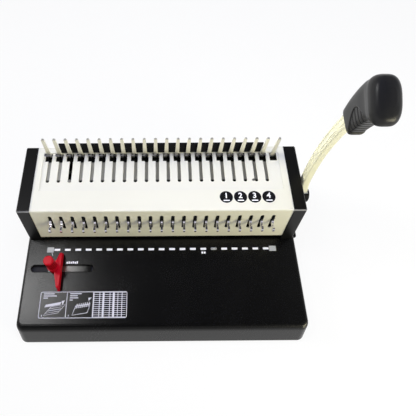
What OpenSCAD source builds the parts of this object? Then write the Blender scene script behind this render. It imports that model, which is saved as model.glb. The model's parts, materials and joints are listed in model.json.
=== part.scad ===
// Desk comb binder: a lever presses a row of punches through a stack of paper
// and, in the same pull, draws a row of hooks that opens a plastic comb.
// X runs to the right, Y to the back, Z up from the table under the base's centre.

/* [Base] */
// Depth of the paper tray, from the base's front edge to the front plate
tray_d = 133; // [120:1:150]
// Distance from an end cap's outer face to the base's side
base_margin = 3.3; // [2:0.1:4]
// Height of the tray surface above the table
tray_h = 30; // [29:0.5:36]
// Wall thickness of the moulded base
base_wall = 2.5; // [2:0.1:3]
// How far the sloping front skirt runs out at the bottom
skirt_run = 11.4; // [8:0.2:13]
// How far the rounding of the tray's front edge runs in
front_edge_r = 7; // [5:0.5:8]
// How far the rounding of the tray's side edges runs in
side_edge_r = 4; // [3:0.5:5]
// Height of the rounding along the tray's edges
edge_h = 5; // [4:0.5:6]
// Plan radius of the base's corners
corner_r = 10; // [6:1:14]
// Height of the rubber feet under the base
foot_h = 3; // [2:0.5:4]
// Diameter of a rubber foot
foot_d = 16; // [12:1:20]

/* [Housing] */
// Room in the housing past each end of the row of holes
row_margin = 15.2; // [14.8:0.1:18]
// Height of the housing's flat top above the tray
housing_h = 66.5; // [65:0.5:72]
// How far the front plate leans back over its height
front_lean = 9.9; // [8:0.1:11]
// Gap between the tray and the front plate's lower edge
front_gap = 7.6; // [7:0.2:9]
// Thickness of the housing's sheet metal
sheet_t = 1.2; // [1:0.1:1.4]
// Distance from the base's back edge to the housing's back
back_inset = 1.2; // [0.8:0.1:2]
// Thickness of an end cap, side to side
cap_t = 16.3; // [14:0.1:18]
// Wall of an end cap
cap_wall = 2; // [1.6:0.1:2.6]
// How far an end cap stands proud of the sheet metal
cap_proud = 0.8; // [0.4:0.1:1.2]
// Thickness of a steel side frame
frame_t = 2; // [1.6:0.1:2.4]

/* [Punching] */
// Distance between two holes along the paper
hole_pitch = 14.2875; // [14.1:0.0125:14.3]
// Number of holes
hole_count = 21; // [11:2:21]
// Width of a punched hole
punch_w = 8; // [7:0.1:8.4]
// Depth of a punched hole
punch_t = 3; // [2.6:0.1:3.4]
// Distance from the front plate's lower edge to the row of punches
punch_setback = 19; // [18:0.2:20]
// Distance from the row of punches to the stop for the paper's edge
edge_margin = 5; // [4:0.2:6]
// Clear height of the paper slot
throat_h = 4.6; // [4.4:0.1:5]
// Thickness of the die plate
die_t = 4; // [3:0.2:4.4]
// Height of the bar that guides the punches
guide_bar_h = 10.4; // [9:0.2:12]
// Height of the carrier that holds the punches
carrier_h = 10; // [8:0.5:11]
// Thickness of a selector pull
selector_t = 2.6; // [2.2:0.1:2.8]
// Height of a selector pull
selector_h = 5.8; // [5:0.1:6.2]
// How far a selector stands out of the front plate
selector_reach = 16; // [14:0.5:18]
// How far a selector's finger hook sits below its strip
selector_drop = 5.5; // [4:0.5:6]
// Height of the tall slots in the front plate
front_slot_h = 29.3; // [28:0.1:31]

/* [Comb opener] */
// Height of a peg above the housing's top
peg_h = 34.2; // [30:0.1:40]
// Width of a peg at its foot
peg_w = 5.3; // [4.6:0.1:5.8]
// Width of a peg near its tip
peg_tip_w = 4; // [3.2:0.1:4.4]
// Thickness of a peg
peg_t = 2; // [1.6:0.1:2.4]
// Distance from the housing's back to the row of pegs
peg_inset = 10.9; // [10.4:0.1:12]
// Width of a hook slot in the top
slot_w = 4.5; // [4:0.1:5]
// Length of a hook slot, without its notch
slot_l = 32.2; // [31:0.2:34]
// Width of the notch around a peg and its hook
notch_w = 9.3; // [8.6:0.1:10]
// Sideways step from a peg to its slot
slot_step = 2.1; // [1.8:0.1:2.4]
// Width of a hook
hook_w = 3; // [2.4:0.1:3.4]
// Height of a hook above the housing's top
hook_rise = 7; // [5:0.2:9]
// Length of the comb's backrest
backrest_l = 267; // [240:1:300]
// Height of the comb's backrest
backrest_h = 19.3; // [14:0.1:24]

/* [Drive] */
// Gear tooth size, as pitch diameter over teeth
gear_module = 1; // [0.9:0.05:1]
// Teeth of a full turn of the small gears that press the punches
press_teeth = 16; // [16:1:17]
// Teeth of a full turn of the large gears that draw the hooks
hook_teeth = 40; // [36:4:40]
// Distance from the row of punches back to the shaft
shaft_behind = 26.7; // [26:0.1:29]
// Distance from the shaft back to the hooks at rest
hook_back = 42.8; // [42:0.1:45]
// Diameter of the shaft
shaft_d = 10; // [9:0.5:10]
// Angle that the lever swings forward
lever_swing = 80; // [60:1:80]
// Thickness of the lever, side to side
lever_t = 10; // [8:0.2:11]
// Depth of the lever at the hub, front to back
lever_b = 12.8; // [11:0.1:14]
// How much deeper the lever is at the grip
lever_flare = 1.24; // [1:0.02:1.24]
// Radius of the lever's long curve
lever_r = 300; // [260:5:340]
// Length of the lever's long curve
lever_l = 128.5; // [118:0.5:136]
// Radius of the crook by the hub
crook_r = 41; // [38:1:46]
// Diameter of the lever's hub
hub_d = 15.5; // [15:0.5:18]
// Length of the grip
grip_l = 64; // [58:1:72]
// Width of the grip's flared end, side to side
grip_w = 26.8; // [22:0.2:30]
// Depth of the grip's flared end, front to back
grip_b = 45.8; // [40:0.2:50]

/* [Edge guide] */
// Length of the guide's slot in the tray
guide_slot_l = 83.4; // [80:0.2:90]
// Width of the guide's slot
guide_slot_w = 9.3; // [8.6:0.1:10]
// Distance from the base's left edge to the slot
guide_slot_inset = 9.8; // [8:0.2:14]
// Row of the slot, forward of the base's centre
guide_slot_fwd = 29.5; // [26:0.5:34]
// Where the guide stands, from the left end of its slot
guide_stand = 31.5; // [26:0.5:40]
// Length of the guide's fence along the paper's edge
fence_l = 52; // [46:0.5:56]
// Height of the fence
fence_h = 10; // [8:0.2:11]
// Diameter of the clamping knob
knob_d = 12.6; // [11:0.2:15]
// Height of the clamping knob
knob_h = 23; // [18:0.5:26]

/* [Chip drawer] */
// Width of the drawer under the dies
drawer_w = 36; // [32:0.5:40]
// Wall of the drawer
drawer_wall = 1.8; // [1.2:0.1:2]
// How far the drawer's pull stands out
pull_out = 6; // [4:0.2:7]

/* [Hidden] */
$fn = 48;
eps = 0.01;
// Small gap between a piece and the hole or seat that it fits
fit = 0.05;
// Gap between a sliding piece and what it slides past
slide_gap = 0.3;
steel = [0.70, 0.71, 0.73];
chrome = [0.82, 0.83, 0.85];
cream = [0.90, 0.89, 0.80];
black = [0.10, 0.10, 0.11];
red = [0.75, 0.03, 0.08];

// Widths, from the row of holes outwards
row_half = hole_pitch * hole_count / 2;
half_w = row_half + row_margin;
cap_x = half_w + cap_t;
base_w = 2 * (cap_x + base_margin);

// Depths, from the front of the base to the back, with the base's centre at zero
hook_t = 2.6;
peg_gap = 2.8;
housing_d = punch_setback + shaft_behind + hook_back + hook_t + peg_gap + peg_t / 2 + peg_inset;
base_d = tray_d + housing_d + back_inset;
front_y = tray_d - base_d / 2;
punch_y = front_y + punch_setback;
shaft_y = punch_y + shaft_behind;
hook_y = shaft_y + hook_back;
peg_y = hook_y + hook_t + peg_gap + peg_t / 2;
back_y = peg_y + peg_inset;

// Levels of the housing
top_z = tray_h + housing_h;
frame_x = half_w - frame_t;
plate_low = tray_h + front_gap;
plate_tilt = atan(front_lean / (top_z - plate_low));
function front_at(z) = front_y + front_lean * (z - plate_low) / (top_z - plate_low);
function behind_plate(z) = front_at(z) + sheet_t / cos(plate_tilt);

// Row of holes, and rows of pegs and slots
function hole_x(i) = (i - (hole_count - 1) / 2) * hole_pitch;
function peg_x(i) = hole_x(i) - hole_pitch / 2;
slot_plate_z = top_z - 2 * sheet_t;
hook_plate_t = 1.6;
hook_plate_z = slot_plate_z - slide_gap - hook_plate_t;
hook_head = 4.6;
notch_front = hook_y - 4.2;
notch_back = peg_y + peg_t / 2 + 0.7;
slot_front = notch_front - slot_l;
window_x = row_half + 7;
window_front = slot_front - 12.5;
window_back = notch_back + 0.6;
slot_lap = 3.8;

// Gears: a tooth of each gear stands in a gap of its rack at rest
press_r = gear_module * press_teeth / 2;
hook_r = gear_module * hook_teeth / 2;
addendum = 0.9 * gear_module;
dedendum = 1.25 * gear_module;
tooth_play = 0.14;
tooth_pitch = PI * gear_module;
pressure_angle = 20;
gear_w = 7;
sector_w = 4;
rack_back = 0.95;
shaft_z = hook_plate_z - rack_back - dedendum - hook_r;
press_travel = press_r * lever_swing * PI / 180;
hook_travel = hook_r * lever_swing * PI / 180;
sector_x = frame_x - 1.7 - sector_w;

// Press bar, its carrier and the selectors that slide in it
bar_top = hook_plate_z - 2.7;
bar_back = shaft_y - press_r - dedendum - 3.45;
bar_front = behind_plate(bar_top) + 1.5;
bar_half = sector_x - 2;
selector_top = top_z - 13.1;
selector_low = selector_top - selector_h;
groove_gap = 0.2;
head_z = selector_low - groove_gap;
carrier_z = head_z - carrier_h;
head_h = 4;
guide_bar_z = tray_h + throat_h;
guide_bar_top = guide_bar_z + guide_bar_h;
guide_bar_front = behind_plate(guide_bar_top) + 6;
guide_bar_back = punch_y + 12;
tip_z = guide_bar_z + 0.9;
post_d = 6;
post_y = punch_y + 6.5;
post_x = hole_x(hole_count - 1) + 7.6;
gear_x = post_x;
spring_wire = 1.2;
spring_turns = 5;
front_slot_top = selector_top + 2.4;
front_slot_w = selector_t + 2.2;

// Die plate, its seat in the base and the drawer under it
die_front = punch_y - 14;
die_back = punch_y + 14;
die_half = half_w - 5.2;
seat_t = 2.5;
seat_z = tray_h - die_t;
drawer_play = 0.4;
plate_t = 1.5;
bottom_z = foot_h + 0.4;
drawer_z = bottom_z + plate_t + slide_gap;
drawer_top = seat_z - seat_t - 1.1;
drawer_left = -base_w / 2 + 26;

// Screws
screw_d = 4;
screw_head_d = 7;
screw_head_h = 2.4;
rail_screw_l = 10;
flange_screw_l = 8;
bottom_screw_l = 12;
flange_w = 10;
flange_y = [punch_y + 28, back_y - 12];
post_screws = [punch_y - 6, punch_y + 7];
cap_screw_yz = [[punch_y + 8, tray_h + 24], [back_y - 14, tray_h + 40]];
base_boss_x = base_w / 2 - 22;
base_boss_y = [-base_d / 2 + 30, back_y - 8];

// Lever curve, worked up from the shaft; angles are measured from the back
crook_start = -47;
crook_end = -9.8;
function on_arc(c, r, a) = [c[0] + r * cos(a), c[1] + r * sin(a)];
shaft_yz = [shaft_y, shaft_z];
crook_c = on_arc(shaft_yz, -crook_r, crook_start);
lever_c = on_arc(on_arc(crook_c, crook_r, crook_end), -lever_r, crook_end);
lever_end = crook_end + lever_l / lever_r * 180 / PI;
tang_l = 22;
collar_t = 3;
collar_d = 2 * hub_d;
lever_x = cap_x + slide_gap + collar_t;
lever_mid = lever_x + lever_t / 2;
hub_cap_h = 1.6;
grip_r = 197;
grip_lean = 7.6;
grip_forward = 5.2;
grip_start = on_arc(on_arc(lever_c, lever_r, lever_end), -grip_forward, lever_end);
grip_c = on_arc(grip_start, -grip_r, grip_lean);

// Edge guide
slot_left = -base_w / 2 + guide_slot_inset;
guide_y = -guide_slot_fwd;
guide_x = slot_left + guide_stand;
fence_x = guide_x + 10.2;
guide_lift = 0.3;
boss_h = 12;
boss_d = 15;
stem_d = guide_slot_w - 1;
slide_t = 2.4;
slide_z = tray_h - base_wall - slide_gap - slide_t;
stud_d = 5;
slide_left = 9;
slide_right = 48;

function selector_name(i) = str("selector_", i < 10 ? "0" : "", i);

// Drawing helpers

// A block between two corners
module block(low, high) {
    translate(low)
        cube(high - low);
}

// A profile drawn in Y and Z, run along X
module along_x(x0, x1) {
    translate([x0, 0, 0])
        rotate([90, 0, 90])
            linear_extrude(x1 - x0)
                children();
}

// A profile drawn in X and Z, run along Y
module along_y(y0, y1) {
    translate([0, y1, 0])
        rotate([90, 0, 0])
            linear_extrude(y1 - y0)
                children();
}

// A cylinder along X
module rod_x(x0, x1, y, z, d) {
    translate([x0, y, z])
        rotate([0, 90, 0])
            cylinder(d = d, h = x1 - x0);
}

// A cylinder along Z
module rod_z(z0, z1, x, y, d) {
    translate([x, y, z0])
        cylinder(d = d, h = z1 - z0);
}

// The same piece on both sides
module both_sides() {
    children();
    mirror([1, 0, 0])
        children();
}

function unit(v) = v / norm(v);
function xy(p) = [p[0], p[1]];

// Corner i of a rounded outline: [point on the way in, point on the way out, centre, radius]
function corner(pts, i) =
    let (n = len(pts), p = xy(pts[i]), r = pts[i][2])
    let (u = unit(xy(pts[(i + n - 1) % n]) - p), v = unit(xy(pts[(i + 1) % n]) - p))
    let (half = acos(u * v) / 2)
    [p + u * r / tan(half), p + v * r / tan(half), p + unit(u + v) * r / sin(half), r];

// A convex outline with true arcs at its corners; each point is [x, y, radius]
module smooth(pts) {
    corners = [for (i = [0:len(pts) - 1]) corner(pts, i)];
    polygon([for (c = corners) each [c[0], c[1]]]);
    for (c = corners)
        if (c[3] > 0)
            translate(c[2])
                circle(r = c[3]);
}

// Points along a rounded corner, from its way in to its way out
function corner_arc(c, steps) =
    let (a = atan2(c[0][1] - c[2][1], c[0][0] - c[2][0]), b = atan2(c[1][1] - c[2][1], c[1][0] - c[2][0]))
    let (turn = b - a > 180 ? b - a - 360 : b - a < -180 ? b - a + 360 : b - a)
    [for (k = [0:steps]) on_arc(c[2], c[3], a + turn * k / steps)];

// Outline of any shape with rounded corners, as points; each corner is [x, y, radius]
function rounded(pts, steps = 5) =
    [for (i = [0:len(pts) - 1])
        each pts[i][2] > 0 ? corner_arc(corner(pts, i), steps) : [xy(pts[i])]];

// A slot with round ends along Y
module slot_y(y0, y1, w) {
    translate([-w / 2, y0 + w / 2])
        square([w, y1 - y0 - w]);
    for (y = [y0 + w / 2, y1 - w / 2])
        translate([0, y])
            circle(d = w);
}

// A rectangle with round corners, centred
module round_rect(w, d, r) {
    square([w - 2 * r, d], center = true);
    square([w, d - 2 * r], center = true);
    for (x = [-1, 1], y = [-1, 1])
        translate([x * (w / 2 - r), y * (d / 2 - r)])
            circle(r = r);
}

// Base

// Value at t on a curve from a to c that leaves a and reaches c in line with b
function bend(a, b, c, t) = a * (1 - t) * (1 - t) + 2 * b * t * (1 - t) + c * t * t;

// Outline of the base at a level [front, side and back drawn in, height]
function base_ring(level) =
    let (x = base_w / 2 - level[1], y0 = -base_d / 2 + level[0], y1 = base_d / 2 - level[2])
    let (r = corner_r - level[1])
    [for (p = rounded([[-x, y0, r], [x, y0, r], [x, y1, r], [-x, y1, r]], corner_steps))
        [p[0], p[1], level[3]]];

// Outer form of the base, drawn in by the given amount on every face
module base_form(inset, low) {
    slope = skirt_run / (tray_h - foot_h);
    lean = inset * norm([1, slope]);
    foot = [lean + slope * (low - foot_h), inset, inset, low];
    start = [lean + slope * (tray_h - edge_h - foot_h), inset, inset, tray_h - edge_h];
    peak = [lean + slope * (tray_h - inset - foot_h), inset, inset, tray_h - inset];
    end = peak + [front_edge_r - inset, side_edge_r - inset, 0, 0];
    skin(concat([base_ring(foot)],
                [for (k = [0:edge_steps]) base_ring(bend(start, peak, end, k / edge_steps))]));
}

corner_steps = 9;
edge_steps = 6;

module base_tray() {
    color(black)
    difference() {
        union() {
            difference() {
                base_form(0, foot_h);
                base_form(base_wall, foot_h - 1);
            }
            base_inside();
        }
        // guide slot
        translate([slot_left + guide_slot_l / 2, guide_y, tray_h - base_wall - 1])
            rotate([0, 0, 90])
                linear_extrude(base_wall + 2)
                    slot_y(-guide_slot_l / 2, guide_slot_l / 2, guide_slot_w);
        // pocket for the die plate, and the window that the chips fall through
        block([-die_half - fit, die_front - fit, seat_z], [die_half + fit, die_back + fit, tray_h + 1]);
        block([-row_half - 3, punch_y - 7, seat_z - seat_t - 1], [row_half + 3, punch_y + 7, seat_z + 1]);
        // mouth of the drawer
        block([base_w / 2 - 2 * base_wall - eps, punch_y - drawer_w / 2 - drawer_play, foot_h - 1],
              [base_w / 2 + 1, punch_y + drawer_w / 2 + drawer_play, drawer_top + drawer_play]);
        frame_screw_holes();
        base_boss_holes();
    }
}

// Seat for the die plate and the bosses that the screws go into
module base_inside() {
    block([-die_half - 4, die_front - 4, seat_z - seat_t], [die_half + 4, die_back + 4, tray_h - 1]);
    for (x = [-base_boss_x, base_boss_x], y = base_boss_y)
        rod_z(bottom_z + plate_t, tray_h - 1, x, y, 9);
    both_sides()
        for (y = flange_y)
            rod_z(tray_h - 9, tray_h - 1, half_w + flange_w / 2, y, 8);
}

module frame_screw_holes() {
    both_sides()
        for (y = flange_y)
            rod_z(tray_h - 8, tray_h + 1, half_w + flange_w / 2, y, screw_d + 2 * fit);
}

module base_boss_holes() {
    for (x = [-base_boss_x, base_boss_x], y = base_boss_y)
        rod_z(bottom_z - 1, tray_h - 6, x, y, screw_d + 2 * fit);
}

module bottom_plate() {
    inner_w = base_w - 2 * base_wall - 1;
    front = -base_d / 2 + base_wall + 1.5;
    back = base_d / 2 - base_wall - 0.5;
    color(black)
    difference() {
        translate([0, (front + back) / 2, bottom_z])
            linear_extrude(plate_t)
                round_rect(inner_w, back - front, corner_r - base_wall);
        for (x = [-base_boss_x, base_boss_x], y = base_boss_y)
            rod_z(bottom_z - 1, bottom_z + plate_t + 1, x, y, screw_d + 2 * fit);
    }
}

module rubber_feet() {
    foot_x = base_boss_x - 16;
    foot_y = base_d / 2 - base_wall - foot_d / 2 - 3;
    corners = [for (x = [-foot_x, foot_x], y = [base_boss_y[0], foot_y]) [x, y, 0]];
    color([0.05, 0.05, 0.05])
        for (p = concat([[0, 0, 0]], corners))
            translate(p)
                rotate_extrude()
                    polygon(rounded([[0, 0, 0], [foot_d / 2 - 1, 0, 0.6], [foot_d / 2, bottom_z, 0],
                                     [0, bottom_z, 0]]));
}

// Dies and paper slot

module die_plate() {
    color(steel)
    difference() {
        block([-die_half, die_front, seat_z], [die_half, die_back, tray_h]);
        punch_holes(seat_z - 1, tray_h + 1, 0.1);
    }
}

// Row of holes for the punches, wider than a punch by the given play
module punch_holes(z0, z1, play) {
    for (i = [0:hole_count - 1])
        translate([hole_x(i), punch_y, (z0 + z1) / 2])
            cube([punch_w + 2 * play, punch_t + 2 * play, z1 - z0], center = true);
}

module punch_guide() {
    foot_l = frame_x - row_half - 5;
    color(steel)
    difference() {
        union() {
            block([-frame_x, guide_bar_front, guide_bar_z], [frame_x, guide_bar_back, guide_bar_top]);
            both_sides()
                block([die_half - foot_l, punch_y - 8, tray_h], [die_half, guide_bar_back, guide_bar_z + 1]);
        }
        punch_holes(guide_bar_z - 1, guide_bar_top + 1, 0.1);
        for (x = [-post_x, post_x])
            rod_z(guide_bar_z + 2, guide_bar_top + 1, x, post_y, post_d + 2 * fit);
        both_sides()
            for (y = post_screws)
                rod_x(frame_x - 12, frame_x + 1, y, guide_bar_z + guide_bar_h / 2, screw_d + 2 * fit);
    }
}

module back_gauge() {
    x = die_half - (frame_x - row_half - 5) - 0.5;
    y = punch_y + edge_margin;
    color(steel)
        block([-x, y, tray_h], [x, y + 2.5, guide_bar_z]);
}

// Housing

bend_r = 2;

module side_frame() {
    back = back_y - sheet_t;
    top = top_z - sheet_t;
    difference() {
        union() {
            along_x(frame_x, half_w)
                polygon([[behind_plate(plate_low), tray_h], [behind_plate(plate_low), plate_low],
                         [behind_plate(top - bend_r), top - bend_r], [behind_plate(top) + bend_r, top],
                         [back, top], [back, tray_h]]);
            block([half_w - eps, flange_y[0] - 8, tray_h],
                  [half_w + flange_w, flange_y[1] + 6, tray_h + frame_t]);
        }
        rod_x(frame_x - 1, half_w + 1, shaft_y, shaft_z, shaft_d + 4 + 2 * fit);
        for (y = post_screws)
            rod_x(frame_x - 1, half_w + 1, y, guide_bar_z + guide_bar_h / 2, screw_d + 2 * fit);
        for (p = cap_screw_yz)
            rod_x(frame_x - 1, half_w + 1, p[0], p[1], screw_d + 2 * fit);
        for (y = flange_y)
            rod_z(tray_h - 1, tray_h + frame_t + 1, half_w + flange_w / 2, y, screw_d + 2 * fit);
    }
}

module left_side_frame() {
    color(steel)
        mirror([1, 0, 0])
            side_frame();
}

module right_side_frame() {
    color(steel)
        side_frame();
}

// Side outline of an end cap down to the given level, drawn in by the given amount
module cap_outline(inset, low) {
    z1 = top_z + cap_proud - inset;
    back = back_y + cap_proud - inset;
    front_low = front_at(low) - cap_proud + inset;
    front_top = front_at(top_z) - cap_proud + inset;
    round = cap_edge_r - inset;
    smooth([[front_low, low, 0], [front_top, z1, round], [back, z1, round], [back, low, 0]]);
}

cap_bevel = 1.2;
cap_edge_r = 2.8;

module end_cap() {
    inner = cap_x - cap_wall;
    difference() {
        union() {
            difference() {
                union() {
                    along_x(half_w, cap_x - cap_bevel)
                        cap_outline(0, tray_h);
                    hull() {
                        along_x(cap_x - cap_bevel, cap_x - cap_bevel + eps)
                            cap_outline(0, tray_h, $fn = 32);
                        along_x(cap_x - eps, cap_x)
                            cap_outline(cap_bevel, tray_h, $fn = 32);
                    }
                }
                along_x(half_w - 1, inner)
                    cap_outline(cap_wall, tray_h - 1);
            }
            for (p = cap_screw_yz)
                rod_x(half_w, inner + eps, p[0], p[1], 9);
        }
        for (p = cap_screw_yz) {
            rod_x(half_w - 1, cap_x + 1, p[0], p[1], screw_d + 2 * fit);
            rod_x(cap_x - screw_head_h - 0.6, cap_x + 1, p[0], p[1], screw_head_d + 0.4);
        }
    }
}

module left_end_cap() {
    color(black)
        mirror([1, 0, 0])
            end_cap();
}

module right_end_cap() {
    color(black)
    difference() {
        end_cap();
        rod_x(half_w, cap_x + 1, shaft_y, shaft_z, shaft_d + 2);
    }
}

// Bent sheet that makes the front and the top, with its slots and window
module housing_cover() {
    under = top_z - sheet_t;
    color(cream)
    difference() {
        along_x(-half_w, half_w)
            polygon(rounded([[front_at(plate_low), plate_low, 0], [front_at(top_z), top_z, bend_r],
                             [back_y, top_z, 0], [back_y, under, 0],
                             [behind_plate(under), under, bend_r - sheet_t],
                             [behind_plate(plate_low), plate_low, 0]], 8));
        for (i = [0:hole_count - 1])
            translate([hole_x(i), 0, 0])
                along_y(front_y - 5, behind_plate(top_z) + 2)
                    slot_y(front_slot_top - front_slot_h, front_slot_top, front_slot_w);
        block([-window_x, window_front, top_z - 2 * sheet_t], [window_x, window_back, top_z + 1]);
    }
}

module slot_plate() {
    color(cream)
    difference() {
        block([-window_x - slot_lap, window_front - slot_lap, slot_plate_z],
              [window_x + slot_lap, window_back + slot_lap, slot_plate_z + sheet_t]);
        translate([0, 0, slot_plate_z - 1])
            linear_extrude(sheet_t + 2)
                for (i = [0:hole_count]) {
                    translate([peg_x(i) - notch_w / 2, notch_front])
                        square([notch_w, notch_back - notch_front]);
                    if (i < hole_count)
                        translate([peg_x(i) + slot_step, 0])
                            slot_y(slot_front, notch_front + slot_w, slot_w);
                }
        stud_holes(slot_plate_z - 1, top_z, stud_d_hook + 2 * fit);
    }
}

module rear_cover() {
    color(cream)
        block([-half_w, back_y - sheet_t, tray_h + 0.4], [half_w, back_y, top_z - sheet_t]);
}

// Pegs that the comb is set on

peg_sink = 16;
rail_h = 18;
rail_t = 4;
peg_pocket = 8;
peg_low = slot_plate_z - peg_sink;
rail_low = peg_low - rail_h;

module peg_rail() {
    rail_back = back_y - sheet_t;
    color(steel)
    difference() {
        union() {
            block([-frame_x, peg_y + peg_t / 2 - rail_t, rail_low], [frame_x, peg_y + peg_t / 2, peg_low]);
            block([-frame_x, peg_y + peg_t / 2 - rail_t, rail_low],
                  [frame_x, rail_back, rail_low + rail_t / 2]);
        }
        for (i = [0:hole_count])
            translate([peg_x(i), peg_y, peg_low])
                cube([peg_w + 2 * fit, peg_t + 2 * fit, 2 * peg_pocket], center = true);
    }
}

module comb_pegs() {
    tip = top_z + peg_h;
    foot = peg_low - peg_pocket + fit;
    color(cream)
        for (i = [0:hole_count])
            translate([peg_x(i), 0, 0])
                along_y(peg_y - peg_t / 2, peg_y + peg_t / 2) {
                    polygon([[-peg_w / 2, foot], [peg_w / 2, foot],
                             [peg_w / 2, top_z + peg_h / 6], [peg_tip_w / 2, tip - peg_tip_w / 2],
                             [-peg_tip_w / 2, tip - peg_tip_w / 2], [-peg_w / 2, top_z + peg_h / 6]]);
                    translate([0, tip - peg_tip_w / 2])
                        circle(d = peg_tip_w);
                }
}

module comb_backrest() {
    front = window_back + 0.1;
    color(black)
        along_x(-backrest_l / 2, backrest_l / 2)
            polygon(rounded([[front, top_z, 0], [front, top_z + backrest_h, 0.9],
                             [front + 2.2, top_z + backrest_h, 0.9], [front + 2.2, top_z + 1.6, 1],
                             [back_y - 0.8, top_z + 1.6, 0], [back_y - 0.8, top_z, 0]]));
}

// Drive

module guide_posts() {
    color(steel)
        for (x = [-post_x, post_x])
            rod_z(guide_bar_z + 2, bar_top - 0.5, x, post_y, post_d);
}

module shaft_bushes() {
    color([0.80, 0.62, 0.30])
        both_sides()
            difference() {
                union() {
                    rod_x(frame_x, half_w + eps, shaft_y, shaft_z, shaft_d + 4);
                    rod_x(half_w, half_w + 1.5, shaft_y, shaft_z, shaft_d + 9);
                }
                rod_x(frame_x - 1, half_w + 3, shaft_y, shaft_z, shaft_d + 2 * fit);
            }
}

stud_d_hook = 4;
stud_y = hook_y - 34;

module stud_holes(z0, z1, d) {
    for (x = [-row_half * 0.8, row_half * 0.8])
        rod_z(z0, z1, x, stud_y, d);
}

// Shouldered studs that carry the hook plate under the top
module hook_studs() {
    color(steel)
        for (x = [-row_half * 0.8, row_half * 0.8]) {
            rod_z(hook_plate_z - 2, slot_plate_z + sheet_t, x, stud_y, stud_d_hook);
            rod_z(hook_plate_z - slide_gap - 1.5, hook_plate_z - slide_gap, x, stud_y, 8);
        }
}

module main_shaft() {
    color(steel)
        rod_x(-half_w - 4, lever_x + lever_t - 0.5, shaft_y, shaft_z, shaft_d);
}

// Point on the involute of a base circle, where the circle of radius r cuts it
function involute_angle(base, r) =
    let (t = sqrt(max(0, r * r / (base * base) - 1)))
    t * 180 / PI - atan(t);

// One gear tooth centred on the X axis, for a gear of pitch radius r
function tooth(r) =
    let (base = r * cos(pressure_angle), root = r - dedendum, tip = r + addendum)
    let (half = (tooth_pitch / 2 - tooth_play) / 2 / r * 180 / PI + involute_angle(base, r))
    let (radii = [for (k = [0:5]) max(base, root) + (tip - max(base, root)) * k / 5])
    let (flank = [for (q = radii) [q, half - involute_angle(base, q)]])
    concat([[root - 0.4, flank[0][1]]], flank);

module gear_teeth(r, first, last) {
    side = tooth(r);
    step = tooth_pitch / r * 180 / PI;
    for (k = [first:last])
        rotate(k * step)
            polygon(concat([for (p = side) on_arc([0, 0], p[0], p[1])],
                           [for (i = [len(side) - 1:-1:0]) on_arc([0, 0], side[i][0], -side[i][1])]));
}

module press_pinions() {
    color(steel)
        both_sides()
            translate([0, shaft_y, shaft_z])
                along_x(gear_x - gear_w / 2, gear_x + gear_w / 2)
                    difference() {
                        union() {
                            circle(r = press_r - dedendum);
                            gear_teeth(press_r, 0, press_teeth - 1);
                        }
                        circle(d = shaft_d + 2 * fit);
                    }
}

module hook_sectors() {
    step = 360 / hook_teeth;
    first = floor((90 - lever_swing) / step) - 2;
    last = ceil(90 / step) + 2;
    a0 = (first - 0.5) * step;
    a1 = (last + 0.5) * step;
    root = hook_r - dedendum;
    color(steel)
        both_sides()
            translate([0, shaft_y, shaft_z])
                along_x(sector_x, sector_x + sector_w)
                    difference() {
                        union() {
                            circle(d = shaft_d + 8);
                            intersection() {
                                circle(r = root);
                                polygon(concat([[0, 0]],
                                               [for (k = [0:4])
                                                   on_arc([0, 0], 2 * hook_r, a0 + (a1 - a0) * k / 4)]));
                            }
                            gear_teeth(hook_r, first, last);
                        }
                        circle(d = shaft_d + 2 * fit);
                    }
}

// A straight rack that points along +Y of its drawing, with a gap at zero
module rack_teeth(first, last) {
    flank = tan(pressure_angle);
    half = tooth_pitch / 4 - tooth_play / 2;
    for (k = [first:last])
        translate([(k + 0.5) * tooth_pitch, 0])
            polygon([[-half - dedendum * flank, -dedendum - 0.2], [-half + addendum * flank, addendum],
                     [half - addendum * flank, addendum], [half + dedendum * flank, -dedendum - 0.2]]);
}

module press_bar() {
    last = ceil(press_travel / tooth_pitch) + 1;
    rack_low = shaft_z - 2 * tooth_pitch;
    rack_top = min(bar_top, shaft_z + (last + 1) * tooth_pitch);
    root = shaft_y - press_r - dedendum;
    color(steel)
    difference() {
        union() {
            block([-bar_half, bar_front, head_z], [bar_half, bar_back, bar_top]);
            both_sides() {
                block([gear_x - gear_w / 2, bar_back - eps, rack_low], [gear_x + gear_w / 2, root, rack_top]);
                along_x(gear_x - gear_w / 2, gear_x + gear_w / 2)
                    intersection() {
                        translate([root - 1, rack_low])
                            square([press_r, rack_top - rack_low]);
                        translate([shaft_y - press_r, shaft_z])
                            mirror([1, 0])
                                rotate(90)
                                    rack_teeth(-2, last);
                    }
            }
        }
        for (i = [0:hole_count - 1])
            translate([hole_x(i), 0, 0])
                block([-selector_t / 2 - 0.1, bar_front - 1, head_z - 1],
                      [selector_t / 2 + 0.1, bar_back + 1, selector_top + groove_gap]);
        for (x = [-post_x, post_x])
            rod_z(head_z - 1, bar_top + 1, x, post_y, post_d + 2 * fit);
    }
}

module punch_carrier() {
    color(steel)
    difference() {
        block([-bar_half, bar_front, carrier_z], [bar_half, bar_back - 0.4, head_z]);
        punch_holes(carrier_z - 1, head_z + 1, fit);
        for (i = [0:hole_count - 1])
            translate([hole_x(i), punch_y, head_z])
                cube([punch_w + 1 + 2 * fit, punch_t + 2 + 2 * fit, 2 * head_h], center = true);
        for (x = [-post_x, post_x])
            rod_z(carrier_z - 1, head_z + 1, x, post_y, post_d + 2 * fit);
    }
}

// Flat punches with a shallow notch ground into the tip and a square head
module punches() {
    color(chrome)
        for (i = [0:hole_count - 1])
            translate([hole_x(i), punch_y, 0]) {
                along_y(-punch_t / 2, punch_t / 2)
                    polygon([[-punch_w / 2, tip_z], [0, tip_z + 1.2], [punch_w / 2, tip_z],
                             [punch_w / 2, head_z], [-punch_w / 2, head_z]]);
                translate([0, 0, head_z - head_h / 2])
                    cube([punch_w + 1, punch_t + 2, head_h - 2 * fit], center = true);
            }
}

// Return springs

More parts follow.
